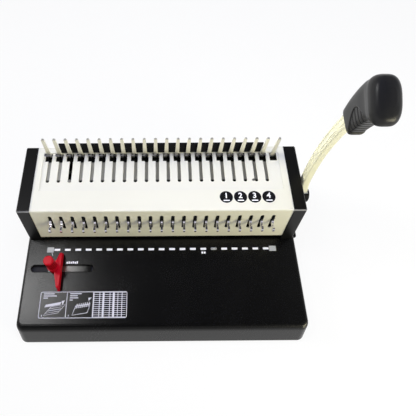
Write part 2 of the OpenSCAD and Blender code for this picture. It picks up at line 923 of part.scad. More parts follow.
coil_r = (post_d + spring_wire) / 2 + 1;
coil_low = guide_bar_top + spring_wire / 2 + fit;
coil_top = carrier_z - spring_wire / 2 - fit;
coil_rings = 8 * spring_turns;
function coil_point(k) =
    [coil_r * cos(45 * k), coil_r * sin(45 * k), coil_low + (coil_top - coil_low) * k / coil_rings];
coil_gap = min([for (k = [0:coil_rings - 8]) norm(coil_point(k + 8) - coil_point(k))]) - spring_wire;
echo(coil_gap = coil_gap);

module coil() {
    sides = 6;
    points = [for (k = [0:coil_rings], s = [0:sides - 1])
        let (c = coil_point(k), a = 360 * s / sides, out = unit([c[0], c[1], 0]))
        c + spring_wire / 2 * (cos(a) * out + sin(a) * [0, 0, 1])];
    sleeve = [for (k = [0:coil_rings - 1], s = [0:sides - 1])
        let (a = k * sides + s, b = k * sides + (s + 1) % sides)
        each [[a, a + sides, b], [b, a + sides, b + sides]]];
    start = [for (s = [1:sides - 2]) [0, s, s + 1]];
    tail = coil_rings * sides;
    end = [for (s = [1:sides - 2]) [tail, tail + s + 1, tail + s]];
    polyhedron(points, concat(sleeve, start, end));
}

module return_springs() {
    color(chrome)
        for (x = [-post_x, post_x])
            translate([x, post_y, 0])
                coil();
}

// Hook plate and hooks

hook_arm_front = max(shaft_y - 5.5, behind_plate(top_z - sheet_t) + hook_travel + 1.5);
hook_arm_back = shaft_y + hook_travel + 5.5;
plate_front = shaft_y + 4;
plate_back = hook_y + hook_t;

module hook_plate() {
    first = ceil((hook_arm_front - shaft_y) / tooth_pitch);
    last = floor((hook_arm_back - shaft_y) / tooth_pitch) - 1;
    plate_top = hook_plate_z + hook_plate_t;
    root = shaft_z + hook_r + dedendum;
    slot_half = stud_d_hook / 2 + slide_gap;
    color(steel)
    difference() {
        union() {
            block([-row_half - 4, plate_front, hook_plate_z], [row_half + 4, plate_back, plate_top]);
            both_sides() {
                block([row_half - 6, hook_arm_front, hook_plate_z],
                      [sector_x + sector_w + 0.5, hook_arm_back, plate_top]);
                block([sector_x - 0.5, hook_arm_front, root],
                      [sector_x + sector_w + 0.5, hook_arm_back, hook_plate_z + eps]);
                along_x(sector_x - 0.5, sector_x + sector_w + 0.5)
                    translate([shaft_y, shaft_z + hook_r])
                        mirror([0, 1])
                            rack_teeth(first, last);
            }
        }
        for (x = [-row_half * 0.8, row_half * 0.8])
            translate([x, 0, hook_plate_z - 1])
                linear_extrude(hook_plate_t + 2)
                    slot_y(stud_y - slot_half, stud_y + hook_travel + slot_half, 2 * slot_half);
    }
}

module comb_hooks() {
    low = hook_plate_z + hook_plate_t;
    top = top_z + hook_rise;
    color(chrome)
        for (i = [0:hole_count - 1])
            translate([peg_x(i) + slot_step, 0, 0])
                along_y(hook_y, hook_y + hook_t)
                    polygon(rounded([[hook_w / 2, low, 0], [hook_w / 2, top, 2.4],
                                     [-hook_w / 2 - hook_head, top, 0.8],
                                     [-hook_w / 2 - hook_head, top - 2.2, 0.6],
                                     [-hook_w / 2, top - 2.2, 0.6], [-hook_w / 2, low, 0]]));
}

// Lever and grip

// Cross-section of the lever, from +X round to the back: a rounded bar with grooved sides
groove_row = lever_b * 0.22;
groove_half = 0.9;
groove_deep = 0.7;
lever_side = [for (v = [-groove_row, groove_row])
    each [[lever_t / 2, v - groove_half, 0], [lever_t / 2 - groove_deep, v, 0],
          [lever_t / 2, v + groove_half, 0]]];
lever_half = concat([[lever_t / 2, -lever_b / 2, 2.4]], lever_side, [[lever_t / 2, lever_b / 2, 2.4]]);
lever_section = rounded(concat(lever_half, [for (p = lever_half) [-p[0], -p[1], p[2]]]), 4);

function lever_ring(c, r, a, deeper) =
    [for (p = lever_section)
        let (q = on_arc(c, r + deeper * p[1], a))
        [lever_mid + p[0], q[0], q[1]]];

tang_end = lever_end + tang_l / lever_r * 180 / PI;
crook_steps = 10;
lever_steps = 14;
lever_rings = concat(
    [for (k = [0:crook_steps - 1])
        lever_ring(crook_c, crook_r, crook_start + (crook_end - crook_start) * k / crook_steps, 1)],
    [for (k = [0:lever_steps])
        lever_ring(lever_c, lever_r, crook_end + (tang_end - crook_end) * k / lever_steps,
                   1 + (lever_flare - 1) * k / lever_steps)]);

module handle_lever() {
    color(cream)
    difference() {
        union() {
            skin(lever_rings);
            rod_x(lever_x, lever_x + lever_t, shaft_y, shaft_z, hub_d);
        }
        rod_x(lever_x - 1, lever_x + lever_t + 1, shaft_y, shaft_z, shaft_d + 2 * fit);
    }
}

// Straight socket in the grip for the end of the lever
module tang_socket() {
    from = lever_end - 2;
    middle = (from + tang_end) / 2;
    half = (tang_end - from) / 2;
    side = lever_t / 2 + socket_gap;
    near = lever_r * cos(half) - lever_b * lever_flare / 2 - socket_gap;
    far = lever_r + lever_b * lever_flare / 2 + socket_gap;
    translate([lever_mid, lever_c[0], lever_c[1]])
        rotate([middle, 0, 0])
            block([-side, near, -far * sin(half)], [side, far, far * sin(half) + socket_gap]);
}

socket_gap = 0.2;

// Grip sections from the lever end up: [share of length, of width, of depth, set-forward, roundness]
grip_shape = [[0, 0.58, 0.6, 0, 0.4], [0.02, 0.65, 0.645, 0, 0.4], [0.06, 0.685, 0.66, 0, 0.4],
              [0.3, 0.73, 0.72, -0.6, 0.42], [0.5, 0.78, 0.75, -0.9, 0.46], [0.62, 0.81, 0.78, -1.2, 0.5],
              [0.7, 0.94, 0.91, 2, 0.62], [0.8, 1, 1, 3, 0.7], [0.9, 0.94, 0.9, 3.3, 0.75],
              [0.97, 0.71, 0.76, 3.1, 0.8], [1, 0.37, 0.35, 3.4, 0.8]];
grip_sides = 32;
grip_between = 2;

// Slope of a table of sections at row i, and a smooth row at a share u of the way from row i to the next
function row_slope(t, i) =
    let (a = max(i - 1, 0), b = min(i + 1, len(t) - 1))
    (t[b] - t[a]) / (t[b][0] - t[a][0]);
function smooth_row(t, i, u) =
    let (h = t[i + 1][0] - t[i][0])
    t[i] * (1 + 2 * u) * (1 - u) * (1 - u) + row_slope(t, i) * h * u * (1 - u) * (1 - u)
        + t[i + 1] * u * u * (3 - 2 * u) + row_slope(t, i + 1) * h * u * u * (u - 1);
grip_rows = concat([for (i = [0:len(grip_shape) - 2], j = [0:grip_between - 1])
                       smooth_row(grip_shape, i, j / grip_between)],
                   [grip_shape[len(grip_shape) - 1]]);

function grip_turn(s) = grip_lean + s * grip_l / grip_r * 180 / PI;
function squircle(c, e) = sign(c) * pow(abs(c), e);
function grip_ring(g) =
    let (a = grip_turn(g[0]), c = on_arc(grip_c, grip_r, a))
    [for (k = [0:grip_sides - 1])
        let (w = 360 * (k + 0.5) / grip_sides)
        let (x = g[1] * grip_w / 2 * squircle(cos(w), g[4]))
        let (d = g[2] * grip_b / 2 * squircle(sin(w), g[4]) - g[3])
        [lever_mid + x, c[0] + d * cos(a), c[1] + d * sin(a)]];

// A closed skin over a stack of rings with the same number of points
module skin(rings) {
    n = len(rings[0]);
    m = len(rings);
    sides = [for (j = [0:m - 2], k = [0:n - 1])
        let (a = j * n + k, b = j * n + (k + 1) % n)
        each [[a, a + n, b], [b, a + n, b + n]]];
    low = [for (k = [1:n - 2]) [0, k, k + 1]];
    high = [for (k = [1:n - 2]) [(m - 1) * n, (m - 1) * n + k + 1, (m - 1) * n + k]];
    polyhedron([for (r = rings) each r], concat(sides, low, high));
}

module handle_grip() {
    color(black)
    difference() {
        skin([for (g = grip_rows) grip_ring(g)]);
        tang_socket();
    }
}

module hub_collar() {
    color(black)
    difference() {
        rod_x(cap_x + slide_gap, lever_x, shaft_y, shaft_z, collar_d);
        rod_x(cap_x, lever_x + 1, shaft_y, shaft_z, shaft_d + 2 * fit);
    }
}

// A cup over the lever's hub, cut away where the lever comes out
module hub_cap() {
    inner = hub_d / 2 + 0.3;
    outer = hub_d / 2 + 2.2;
    high = lever_t + hub_cap_h;
    open_from = 3.4;
    color(black)
    difference() {
        translate([lever_x, shaft_y, shaft_z])
            rotate([0, 90, 0])
                rotate_extrude()
                    polygon(rounded([[0, lever_t, 0], [inner, lever_t, 0], [inner, slide_gap, 0],
                                     [outer, slide_gap, 0], [outer, high, 1.8], [0, high, 0]]));
        translate([lever_x, shaft_y, shaft_z])
            rotate([crook_start + 90, 0, 0])
                block([-1, open_from, -hub_d], [lever_t, hub_d, hub_d]);
    }
}

// Edge guide

module edge_guide() {
    low = tray_h + guide_lift;
    tip = 2.2;
    web_d = boss_d / 2;
    color(red)
    difference() {
        union() {
            rod_z(low, low + boss_h - guide_lift, guide_x, guide_y, boss_d);
            hull() {
                rod_z(low, low + boss_h * 0.7, guide_x + web_d / 2, guide_y, web_d, $fn = 32);
                for (dy = [-0.6, 0.4])
                    rod_z(low, low + fence_h * 0.7, fence_x - tip, guide_y + dy * (fence_l - 4 * tip),
                          2 * tip, $fn = 32);
            }
            fence(low);
            rod_z(slide_z + slide_t, low + 1, guide_x, guide_y, stem_d);
        }
        rod_z(slide_z, tray_h + boss_h + 1, guide_x, guide_y, stud_d + 2 * fit);
    }
}

// Straight wall along the paper's edge, rounded down at its ends
module fence(low) {
    fence_t = 3;
    y0 = guide_y - 0.6 * fence_l;
    y1 = y0 + fence_l;
    along_x(fence_x - fence_t, fence_x)
        smooth([[y0, low, 0], [y0 + 3, low + fence_h, 3], [y1 - 3, low + fence_h, 3], [y1, low, 0]]);
}

module guide_slide() {
    slide_half = guide_slot_w / 2 + 5;
    color(steel)
    difference() {
        block([guide_x - slide_left, guide_y - slide_half, slide_z],
              [guide_x + slide_right, guide_y + slide_half, slide_z + slide_t]);
        rod_z(slide_z - 1, slide_z + slide_t + 1, guide_x, guide_y, stud_d + 2 * fit);
    }
}

module guide_knob() {
    low = tray_h + boss_h + slide_gap;
    flutes = 18;
    color(red) {
        difference() {
            translate([guide_x, guide_y, 0])
                rotate_extrude()
                    smooth([[0, low, 0], [knob_d / 2, low, 0.5], [knob_d / 2, low + knob_h, 1.6],
                            [0, low + knob_h, 0]]);
            for (k = [0:flutes - 1])
                translate([guide_x, guide_y, 0])
                    rotate([0, 0, 360 * k / flutes])
                        rod_z(low - 1, low + knob_h - 4, knob_d / 2 + 0.35, 0, 1.6);
        }
        rod_z(slide_z, low + 1, guide_x, guide_y, stud_d);
    }
}

// Chip drawer

module chip_tray() {
    y0 = punch_y - drawer_w / 2;
    y1 = punch_y + drawer_w / 2;
    right = base_w / 2 - 0.3;
    color(black) {
        difference() {
            block([drawer_left, y0, drawer_z], [right, y1, drawer_top]);
            block([drawer_left + drawer_wall, y0 + drawer_wall, drawer_z + drawer_wall],
                  [right - drawer_wall, y1 - drawer_wall, drawer_top + 1]);
        }
        translate([0, punch_y, drawer_top - 4])
            linear_extrude(4)
                difference() {
                    translate([right - 1, 0])
                        round_rect(2 * (pull_out + 1), drawer_w - 4, 2);
                    translate([right - 20 - eps, -drawer_w])
                        square([20, 2 * drawer_w]);
                }
    }
}

// Selector pulls

// Side view of a pull: a flat strip, cranked down behind the front plate to a dished finger hook
module selector_outline() {
    tip = front_at(selector_top) - selector_reach;
    back = punch_y + 9;
    crank = bar_front - 0.5;
    crank_run = 3.4;
    crank_t = 1.4;
    top = selector_top - selector_drop;
    low = selector_low - selector_drop;
    dish = top - 2.6;
    nose = top - 1.4;
    foot = low - 2.4;
    polygon(rounded([[back, selector_low, 0], [back, selector_top, 0], [crank - crank_t, selector_top, 1],
                     [crank - crank_t - crank_run, top, 1], [tip + 12.4, top, 1.4],
                     [tip + 10.6, dish, 1.4], [tip + 7.4, dish, 1.4], [tip + 5.6, nose, 1.4],
                     [tip, nose, 2.4], [tip + 0.4, foot, 1], [tip + 3.2, foot, 1],
                     [tip + 3.6, low, 0.8], [crank - crank_run, low, 1], [crank, selector_low, 1]]));
}

module selector(i) {
    color(chrome)
        along_x(hole_x(i - 1) - selector_t / 2, hole_x(i - 1) + selector_t / 2)
            selector_outline();
}

// Fasteners

// A pan-head screw along +X, with its head's seat at the origin
module screw_x(l) {
    rod_x(-l, eps, 0, 0, screw_d);
    rotate([0, 90, 0])
        rotate_extrude()
            smooth([[0, 0, 0], [screw_head_d / 2, 0, 0], [screw_head_d / 2, screw_head_h, 1],
                    [0, screw_head_h, 0]]);
}

module frame_screws() {
    color(steel)
        both_sides() {
            for (y = post_screws)
                translate([half_w, y, guide_bar_z + guide_bar_h / 2])
                    screw_x(rail_screw_l);
            for (y = flange_y)
                translate([half_w + flange_w / 2, y, tray_h + frame_t])
                    rotate([0, -90, 0])
                        screw_x(flange_screw_l);
        }
}

module case_screws() {
    cap_screw_l = cap_t - screw_head_h - 0.6 + frame_t;
    color(steel) {
        both_sides()
            for (p = cap_screw_yz)
                translate([cap_x - screw_head_h - 0.6, p[0], p[1]])
                    screw_x(cap_screw_l);
        for (x = [-base_boss_x, base_boss_x], y = base_boss_y)
            translate([x, y, bottom_z])
                rotate([0, 90, 0])
                    screw_x(bottom_screw_l);
    }
}

base_tray();
bottom_plate();
rubber_feet();
die_plate();
punch_guide();
back_gauge();
left_side_frame();
right_side_frame();
left_end_cap();
right_end_cap();
housing_cover();
slot_plate();
rear_cover();
peg_rail();
comb_pegs();
comb_backrest();
guide_posts();
shaft_bushes();
hook_studs();
frame_screws();
case_screws();
return_springs();
main_shaft();
press_pinions();
hook_sectors();
handle_lever();
handle_grip();
hub_collar();
hub_cap();
press_bar();
punch_carrier();
punches();
hook_plate();
comb_hooks();
edge_guide();
guide_slide();
guide_knob();
chip_tray();
for (i = [1:hole_count])
    selector(i);
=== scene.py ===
import json
import logging
import math
from dataclasses import dataclass
from enum import Enum
from typing import Any, Mapping, Sequence

import bpy
import numpy as np
from mathutils import Matrix, Vector


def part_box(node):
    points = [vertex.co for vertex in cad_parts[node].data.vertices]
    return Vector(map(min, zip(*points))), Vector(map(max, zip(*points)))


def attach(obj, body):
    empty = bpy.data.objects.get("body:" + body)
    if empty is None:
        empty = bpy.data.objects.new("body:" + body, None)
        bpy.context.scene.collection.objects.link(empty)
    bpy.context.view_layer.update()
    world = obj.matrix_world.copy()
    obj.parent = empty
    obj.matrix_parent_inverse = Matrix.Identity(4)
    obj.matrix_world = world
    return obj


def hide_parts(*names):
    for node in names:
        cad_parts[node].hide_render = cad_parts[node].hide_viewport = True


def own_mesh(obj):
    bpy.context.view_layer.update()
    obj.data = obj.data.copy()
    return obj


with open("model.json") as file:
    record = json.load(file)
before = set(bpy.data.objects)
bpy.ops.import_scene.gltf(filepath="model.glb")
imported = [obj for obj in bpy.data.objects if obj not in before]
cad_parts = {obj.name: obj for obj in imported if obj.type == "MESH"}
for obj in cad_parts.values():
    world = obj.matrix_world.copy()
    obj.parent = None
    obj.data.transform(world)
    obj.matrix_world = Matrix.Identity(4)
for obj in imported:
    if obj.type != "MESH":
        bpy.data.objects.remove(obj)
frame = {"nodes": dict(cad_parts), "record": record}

# A comb binding machine: a finish for every piece of the frame, the marks printed on the tray
# and the top, the finely shaped grip, the coiled springs, and the studio around it

LOG = logging.getLogger("comb_binder")
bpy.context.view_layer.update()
MM = 0.001
HOLES = 21

Colour = tuple[float, float, float]
Flat = tuple[float, float]
Point = tuple[float, float, float]
Outline = tuple[Flat, ...]
Stops = tuple[Flat, ...]
Faces = list[tuple[int, ...]]
# Size of a noise's features in millimetres, and its octaves of detail
Noise = tuple[float, float]
Obj = bpy.types.Object
Material = bpy.types.Material


class Body(Enum):
    """Bodies of the frame that new pieces ride on."""

    BASE = "base"
    LEVER = "lever"


class Slot(Enum):
    """Material slots of the record."""

    BLACK_PLASTIC = "black_plastic"
    GRIP_PLASTIC = "grip_plastic"
    TRIM_PLASTIC = "trim_plastic"
    FOOT_RUBBER = "foot_rubber"
    CREAM_PAINT = "cream_paint"
    BARE_STEEL = "bare_steel"
    FASTENER_STEEL = "fastener_steel"
    BRIGHT_STEEL = "bright_steel"
    BUSH_BRONZE = "bush_bronze"
    RED_PLASTIC = "red_plastic"


class Sock:
    """An output socket that adds Math nodes when it takes part in an expression."""

    def __init__(self, tree: "Tree", socket: bpy.types.NodeSocket) -> None:
        """Keep the tree and the socket."""
        self.tree = tree
        self.socket = socket

    def _math(self, operation: str, first: Any, second: Any) -> "Sock":
        """Add one Math node and give its output."""
        return self.tree.add("ShaderNodeMath", {"operation": operation}, {0: first, 1: second})

    def __add__(self, other: Any) -> "Sock":
        """Add a value."""
        return self._math("ADD", self, other)

    def __radd__(self, other: Any) -> "Sock":
        """Add to a value."""
        return self._math("ADD", other, self)

    def __sub__(self, other: Any) -> "Sock":
        """Take a value away."""
        return self._math("SUBTRACT", self, other)

    def __rsub__(self, other: Any) -> "Sock":
        """Take away from a value."""
        return self._math("SUBTRACT", other, self)

    def __mul__(self, other: Any) -> "Sock":
        """Multiply by a value."""
        return self._math("MULTIPLY", self, other)

    def __rmul__(self, other: Any) -> "Sock":
        """Multiply a value."""
        return self._math("MULTIPLY", other, self)


class Tree:
    """A node tree that gets all its nodes from one method."""

    def __init__(self, nodes: bpy.types.NodeTree) -> None:
        """Start from an emptied tree."""
        self.nodes = nodes
        self.nodes.nodes.clear()

    def add(self, kind: str, settings: Mapping[str, Any] | None = None,
            inputs: Mapping[Any, Any] | None = None, out: Any = 0) -> Sock | None:
        """Add a node, set it up and link it.

        Args:
            kind: Blender's name of the node type.
            settings: Properties that are set first; "stops" holds a ramp's places and greys.
            inputs: Values or sockets, by input name or number.
            out: Name or number of the output that is wanted.

        Returns:
            The wanted output, or None for a node without outputs.
        """
        node = self.nodes.nodes.new(kind)
        for key, value in (settings or {}).items():
            if key == "stops":
                self._set_stops(node.color_ramp, value)
            else:
                setattr(node, key, value)
        for key, value in (inputs or {}).items():
            if isinstance(value, Sock):
                self.nodes.links.new(value.socket, node.inputs[key])
            else:
                node.inputs[key].default_value = value
        return Sock(self, node.outputs[out]) if len(node.outputs) else None

    @staticmethod
    def _set_stops(ramp: bpy.types.ColorRamp, stops: Stops) -> None:
        """Give a ramp its stops.

        Args:
            ramp: The ramp of a new node.
            stops: Place and grey level of each stop.
        """
        while len(ramp.elements) < len(stops):
            ramp.elements.new(1.0)
        for element, (place, level) in zip(ramp.elements, stops):
            element.position = place
            element.color = (level, level, level, 1.0)

    def ramp(self, value: Sock, stops: Stops) -> Sock:
        """Pass a value through a ramp of greys."""
        return self.add("ShaderNodeValToRGB", {"stops": stops}, {"Fac": value})

    def rays(self) -> list[Sock]:
        """Tell rays of the camera, rays of reflections and rays through glass from others."""
        kinds = ("Is Camera Ray", "Is Glossy Ray", "Is Transmission Ray")
        return [self.add("ShaderNodeLightPath", out=kind) for kind in kinds]


class Shader(Tree):
    """The node tree of one material, read in Object coordinates."""

    def __init__(self, name: str) -> None:
        """Create the material.

        Args:
            name: Name of the material.
        """
        self.material = bpy.data.materials.new(name)
        self.material.use_nodes = True
        super().__init__(self.material.node_tree)
        self.coords = self.add("ShaderNodeTexCoord", out="Object")

    def place_mm(self, axis: str) -> Sock:
        """Give the place along an axis in millimetres."""
        place = self.add("ShaderNodeSeparateXYZ", inputs={0: self.coords}, out=axis)
        return place * (1.0 / MM)

    def share(self, axis: str, start: float, end: float) -> Sock:
        """Give how far a place lies from a start, 0, to an end, 1, in millimetres."""
        return (self.place_mm(axis) - start) * (1.0 / (end - start))

    def stretched(self, scale: Point) -> Sock:
        """Give the coordinates multiplied axis by axis."""
        inputs = {"Vector": self.coords, "Scale": scale}
        return self.add("ShaderNodeMapping", {"vector_type": "POINT"}, inputs)

    def noise(self, size_mm: float, detail: float, coords: Sock | None = None) -> Sock:
        """Give a noise from 0 to 1 with features of about that size and octaves of detail."""
        inputs = {"Vector": coords or self.coords, "Scale": 1.0 / MM / size_mm, "Detail": detail}
        return self.add("ShaderNodeTexNoise", {"noise_dimensions": "3D"}, inputs)

    def mix(self, factor: Sock, first: Any, second: Any) -> Sock:
        """Mix two colours.

        Args:
            factor: Share of the second colour.
            first: A colour or a socket.
            second: Another one.

        Returns:
            The mixed colour.
        """
        pair = [c if isinstance(c, Sock) else (*c, 1.0) for c in (first, second)]
        return self.add("ShaderNodeMix", {"data_type": "RGBA", "clamp_factor": True},
                        {0: factor, 6: pair[0], 7: pair[1]}, 2)

    def bump(self, height: Sock, depth_mm: float, strength: float) -> Sock:
        """Give a normal that follows a height from 0 to 1, as deep as that."""
        inputs = {"Height": height, "Distance": depth_mm * MM, "Strength": strength}
        return self.add("ShaderNodeBump", inputs=inputs)

    def surface(self, **sockets: Any) -> Material:
        """Close the tree with a Principled shader.

        Args:
            **sockets: Its inputs, with underscores for spaces.

        Returns:
            The finished material.
        """
        inputs = {key.replace("_", " "): value for key, value in sockets.items()}
        shader = self.add("ShaderNodeBsdfPrincipled", inputs=inputs)
        self.add("ShaderNodeOutputMaterial", inputs={"Surface": shader})
        return self.material


def grey(level: float) -> Colour:
    """Give a grey."""
    return (level, level, level)


def shade(colour: Colour, factor: float) -> Colour:
    """Give a colour made lighter or darker by a factor."""
    return tuple(min(1.0, channel * factor) for channel in colour)


def swing(noise: Sock, amount: float) -> Sock:
    """Turn a noise into a value that swings about zero by an amount in all."""
    return (noise - 0.5) * amount


@dataclass(frozen=True)
class Finish:
    """A named finish whose material is made once."""

    name: str
    colour: Colour

    def material(self) -> Material:
        """Give the material, made on its first use."""
        return bpy.data.materials.get(self.name) or self.make()

    def make(self) -> Material:
        """Make the material; each kind of finish has its own way."""
        raise NotImplementedError

    def wear_and_painted_light(self, tree: Shader, colour: Sock) -> Sock:
        """Give the colour as it is; a kind of finish with painted light or shade changes it."""
        return colour

    def shades(self, factors: Sequence[float]) -> list[Colour]:
        """Give shades of the colour, one for each factor."""
        return [shade(self.colour, factor) for factor in factors]


@dataclass(frozen=True)
class MouldedPlastic(Finish):
    """Plastic from a textured mould: fine grain, faint flow marks, and a sheen that varies."""

    roughness: float = 0.45
    grain_mm: float = 0.9
    relief_mm: float = 0.05
    paler: float = 1.6
    gloss: float = 0.45
    darker: float = 0.85
    flow_mm: float = 70.0
    octaves: float = 3.0
    spots: Stops = ((0.45, 0.0), (0.75, 1.0))
    tint: Flat = (0.5, 0.3)
    sheen: Flat = (0.16, 0.14)
    bump: float = 0.7

    def make(self) -> Material:
        """Make the material.

        Returns:
            The material.
        """
        tree = Shader(self.name)
        grain = tree.noise(self.grain_mm, self.octaves)
        flow = tree.noise(self.flow_mm, self.octaves)
        tint = flow * self.tint[0] + tree.ramp(grain, self.spots) * self.tint[1]
        colour = tree.mix(tint, *self.shades((self.darker, self.paler)))
        return tree.surface(
            Base_Color=self.wear_and_painted_light(tree, colour),
            Roughness=self.roughness + swing(flow, self.sheen[0]) + swing(grain, self.sheen[1]),
            Specular_IOR_Level=self.gloss,
            Normal=tree.bump(grain, self.relief_mm, self.bump),
        )


@dataclass(frozen=True)
class EdgeHighlightPlastic(MouldedPlastic):
    """Moulded plastic painted paler along an edge that runs across the machine: a painted
    highlight.
    """

    edge_mm: Flat = (22.6, 96.5)
    edge_w_mm: float = 1.3
    wear_and_highlight_noise: Noise = (8.0, 3.0)
    least: float = 0.4
    # Colour of the painted highlight at the edge
    bare: Colour = (0.3, 0.3, 0.29)

    def wear_and_painted_light(self, tree: Shader, colour: Sock) -> Sock:
        """Make the colour paler near the edge: a painted highlight.

        Args:
            tree: Tree of the material.
            colour: Colour away from the edge.

        Returns:
            The colour with its painted highlight.
        """
        y, z = (tree.place_mm(axis) - place for axis, place in zip("YZ", self.edge_mm))
        near = 1.0 - (y * y + z * z) * (1.0 / self.edge_w_mm ** 2)
        # Painted highlight along the edge, broken up by a noise
        return tree.mix(near * (self.least + tree.noise(*self.wear_and_highlight_noise)), colour, self.bare)


@dataclass(frozen=True)
class FlutedPlastic(MouldedPlastic):
    """Moulded plastic of an upright knob, with painted shade deep in the flutes of its side."""

    axis_mm: Flat = (-143.5, -29.5)
    side_mm: float = 6.3
    flutes_to_mm: float = 61.0
    deep: Stops = ((0.88, 1.0), (0.98, 0.0))
    below: Stops = ((0.0, 0.0), (0.8, 1.0))
    flute_shade: float = 0.22

    def wear_and_painted_light(self, tree: Shader, colour: Sock) -> Sock:
        """Darken the colour deep in the flutes: painted shade.

        Args:
            tree: Tree of the material.
            colour: Colour without the painted shade.

        Returns:
            The colour with its painted shade.
        """
        x, y = (tree.place_mm(axis) - place for axis, place in zip("XY", self.axis_mm))
        deep = tree.ramp((x * x + y * y) * (1.0 / self.side_mm ** 2), self.deep)
        below = tree.ramp(self.flutes_to_mm - tree.place_mm("Z"), self.below)
        # Painted shade deep in the flutes
        return tree.mix(deep * below, colour, shade(self.colour, self.flute_shade))


@dataclass(frozen=True)
class BakedPaint(Finish):
    """Paint baked on steel: orange peel, slow drift of the tint, tiny specks."""

    roughness: float = 0.4
    peel: Noise = (1.6, 1.0)
    relief_mm: float = 0.012
    coat: float = 0.15
    coat_roughness: float = 0.12
    drift: Noise = (90.0, 2.0)
    tints: Flat = (0.96, 1.03)
    speck: Noise = (0.7, 0.0)
    specks: Stops = ((0.72, 0.0), (0.78, 1.0))
    speck_shade: float = 0.7
    speck_share: float = 0.12
    sheen: Flat = (0.08, 0.06)
    bump: float = 0.6

    def make(self) -> Material:
        """Make the material.

        Returns:
            The material.
        """
        tree = Shader(self.name)
        peel = tree.noise(*self.peel)
        drift = tree.noise(*self.drift)
        specks = tree.ramp(tree.noise(*self.speck), self.specks) * self.speck_share
        tint = tree.mix(drift, *self.shades(self.tints))
        return tree.surface(
            Base_Color=tree.mix(specks, tint, shade(self.colour, self.speck_shade)),
            Roughness=self.roughness + swing(peel, self.sheen[0]) + swing(drift, self.sheen[1]),
            Coat_Weight=self.coat,
            Coat_Roughness=self.coat_roughness,
            Normal=tree.bump(peel, self.relief_mm, self.bump),
        )


@dataclass(frozen=True)
class DrawnSteel(Finish):
    """Metal with rolling or drawing lines along one axis, smudged here and there."""

    roughness: float = 0.25
    along: Point = (0.05, 1.0, 1.0)
    line: Noise = (0.4, 2.0)
    smudge: Noise = (9.0, 4.0)
    relief_mm: float = 0.006
    tints: Flat = (1.08, 0.72)
    tint: Flat = (0.5, 0.3)
    sheen: Flat = (0.1, 0.15)
    bump: float = 0.5

    def make(self) -> Material:
        """Make the material.

        Returns:
            The material.
        """
        tree = Shader(self.name)
        lines = tree.noise(*self.line, tree.stretched(self.along))
        smudges = tree.noise(*self.smudge)
        tint = lines * self.tint[0] + smudges * self.tint[1]
        return tree.surface(
            Base_Color=self.wear_and_painted_light(tree, tree.mix(tint, *self.shades(self.tints))),
            Metallic=1.0,
            Roughness=self.roughness + swing(smudges, self.sheen[1]) + swing(lines, self.sheen[0]),
            Normal=tree.bump(lines, self.relief_mm, self.bump),
        )


@dataclass(frozen=True)
class ShadedEndSteel(DrawnSteel):
    """Drawn metal darkened at its ends as painted shade, each from a clear to a dark place."""

    axis: str = "Y"
    dark: Colour = grey(0.012)
    ends_mm: tuple[Flat, ...] = ((10.0, 0.0),)
    patch: Noise = (3.0, 3.0)
    uneven: float = 0.3

    def wear_and_painted_light(self, tree: Shader, colour: Sock) -> Sock:
        """Darken the colour along the axis: painted shade.

        Args:
            tree: Tree of the material.
            colour: Colour without the painted shade.

        Returns:
            The colour with its painted shade at the ends.
        """
        # Painted shade at each end, made uneven by a noise
        uneven = swing(tree.noise(*self.patch), self.uneven)
        for clear, dark in self.ends_mm:
            colour = tree.mix(tree.share(self.axis, clear, dark) + uneven, colour, self.dark)
        return colour


@dataclass(frozen=True)
class PegCoat(Finish):
    """Pale paint on a steel peg, rubbed through to the metal towards its tip."""

    worn_mm: Flat = (127.0, 131.5)
    worn_stops: Stops = ((0.35, 0.0), (0.9, 1.0))
    ragged: float = 0.5
    wear_and_highlight_noise: Noise = (2.2, 4.0)
    peel: Noise = (0.9, 1.0)
    tints: Flat = (0.9, 1.05)
    roughness: float = 0.34
    sheen: float = 0.2
    relief_mm: float = 0.01
    bump: float = 0.5
    steel: Colour = (0.36, 0.36, 0.35)
    metallic: float = 0.8

    def make(self) -> Material:
        """Make the material.

        Returns:
            The material.
        """
        tree = Shader(self.name)
        rubbed = tree.noise(*self.wear_and_highlight_noise)
        height = tree.share("Z", *self.worn_mm) + swing(rubbed, self.ragged)
        wear_and_painted_light = tree.ramp(height, self.worn_stops)
        paint = tree.mix(rubbed, *self.shades(self.tints))
        return tree.surface(
            Base_Color=tree.mix(wear_and_painted_light, paint, self.steel),
            Metallic=wear_and_painted_light * self.metallic,
            Roughness=self.roughness + swing(rubbed, self.sheen),
            Normal=tree.bump(tree.noise(*self.peel), self.relief_mm, self.bump),
        )


@dataclass(frozen=True)
class PrintInk(Finish):
    """Screen-printed ink with a fine mesh texture and slightly uneven cover."""

    roughness: float = 0.5
    gloss: float = 0.4
    weave: Noise = (0.25, 1.0)
    cover: Noise = (6.0, 3.0)
    tint: Flat = (0.7, 0.3)
    tints: Flat = (0.93, 1.05)
    sheen: float = 0.2
    relief_mm: float = 0.01
    bump: float = 0.5

    def make(self) -> Material:
        """Make the material.

        Returns:
            The material.
        """
        tree = Shader(self.name)
        weave = tree.noise(*self.weave)
        tint = tree.noise(*self.cover) * self.tint[0] + weave * self.tint[1]
        return tree.surface(
            Base_Color=tree.mix(tint, *self.shades(self.tints)),
            Roughness=self.roughness + swing(weave, self.sheen),
            Specular_IOR_Level=self.gloss,
            Normal=tree.bump(weave, self.relief_mm, self.bump),
        )


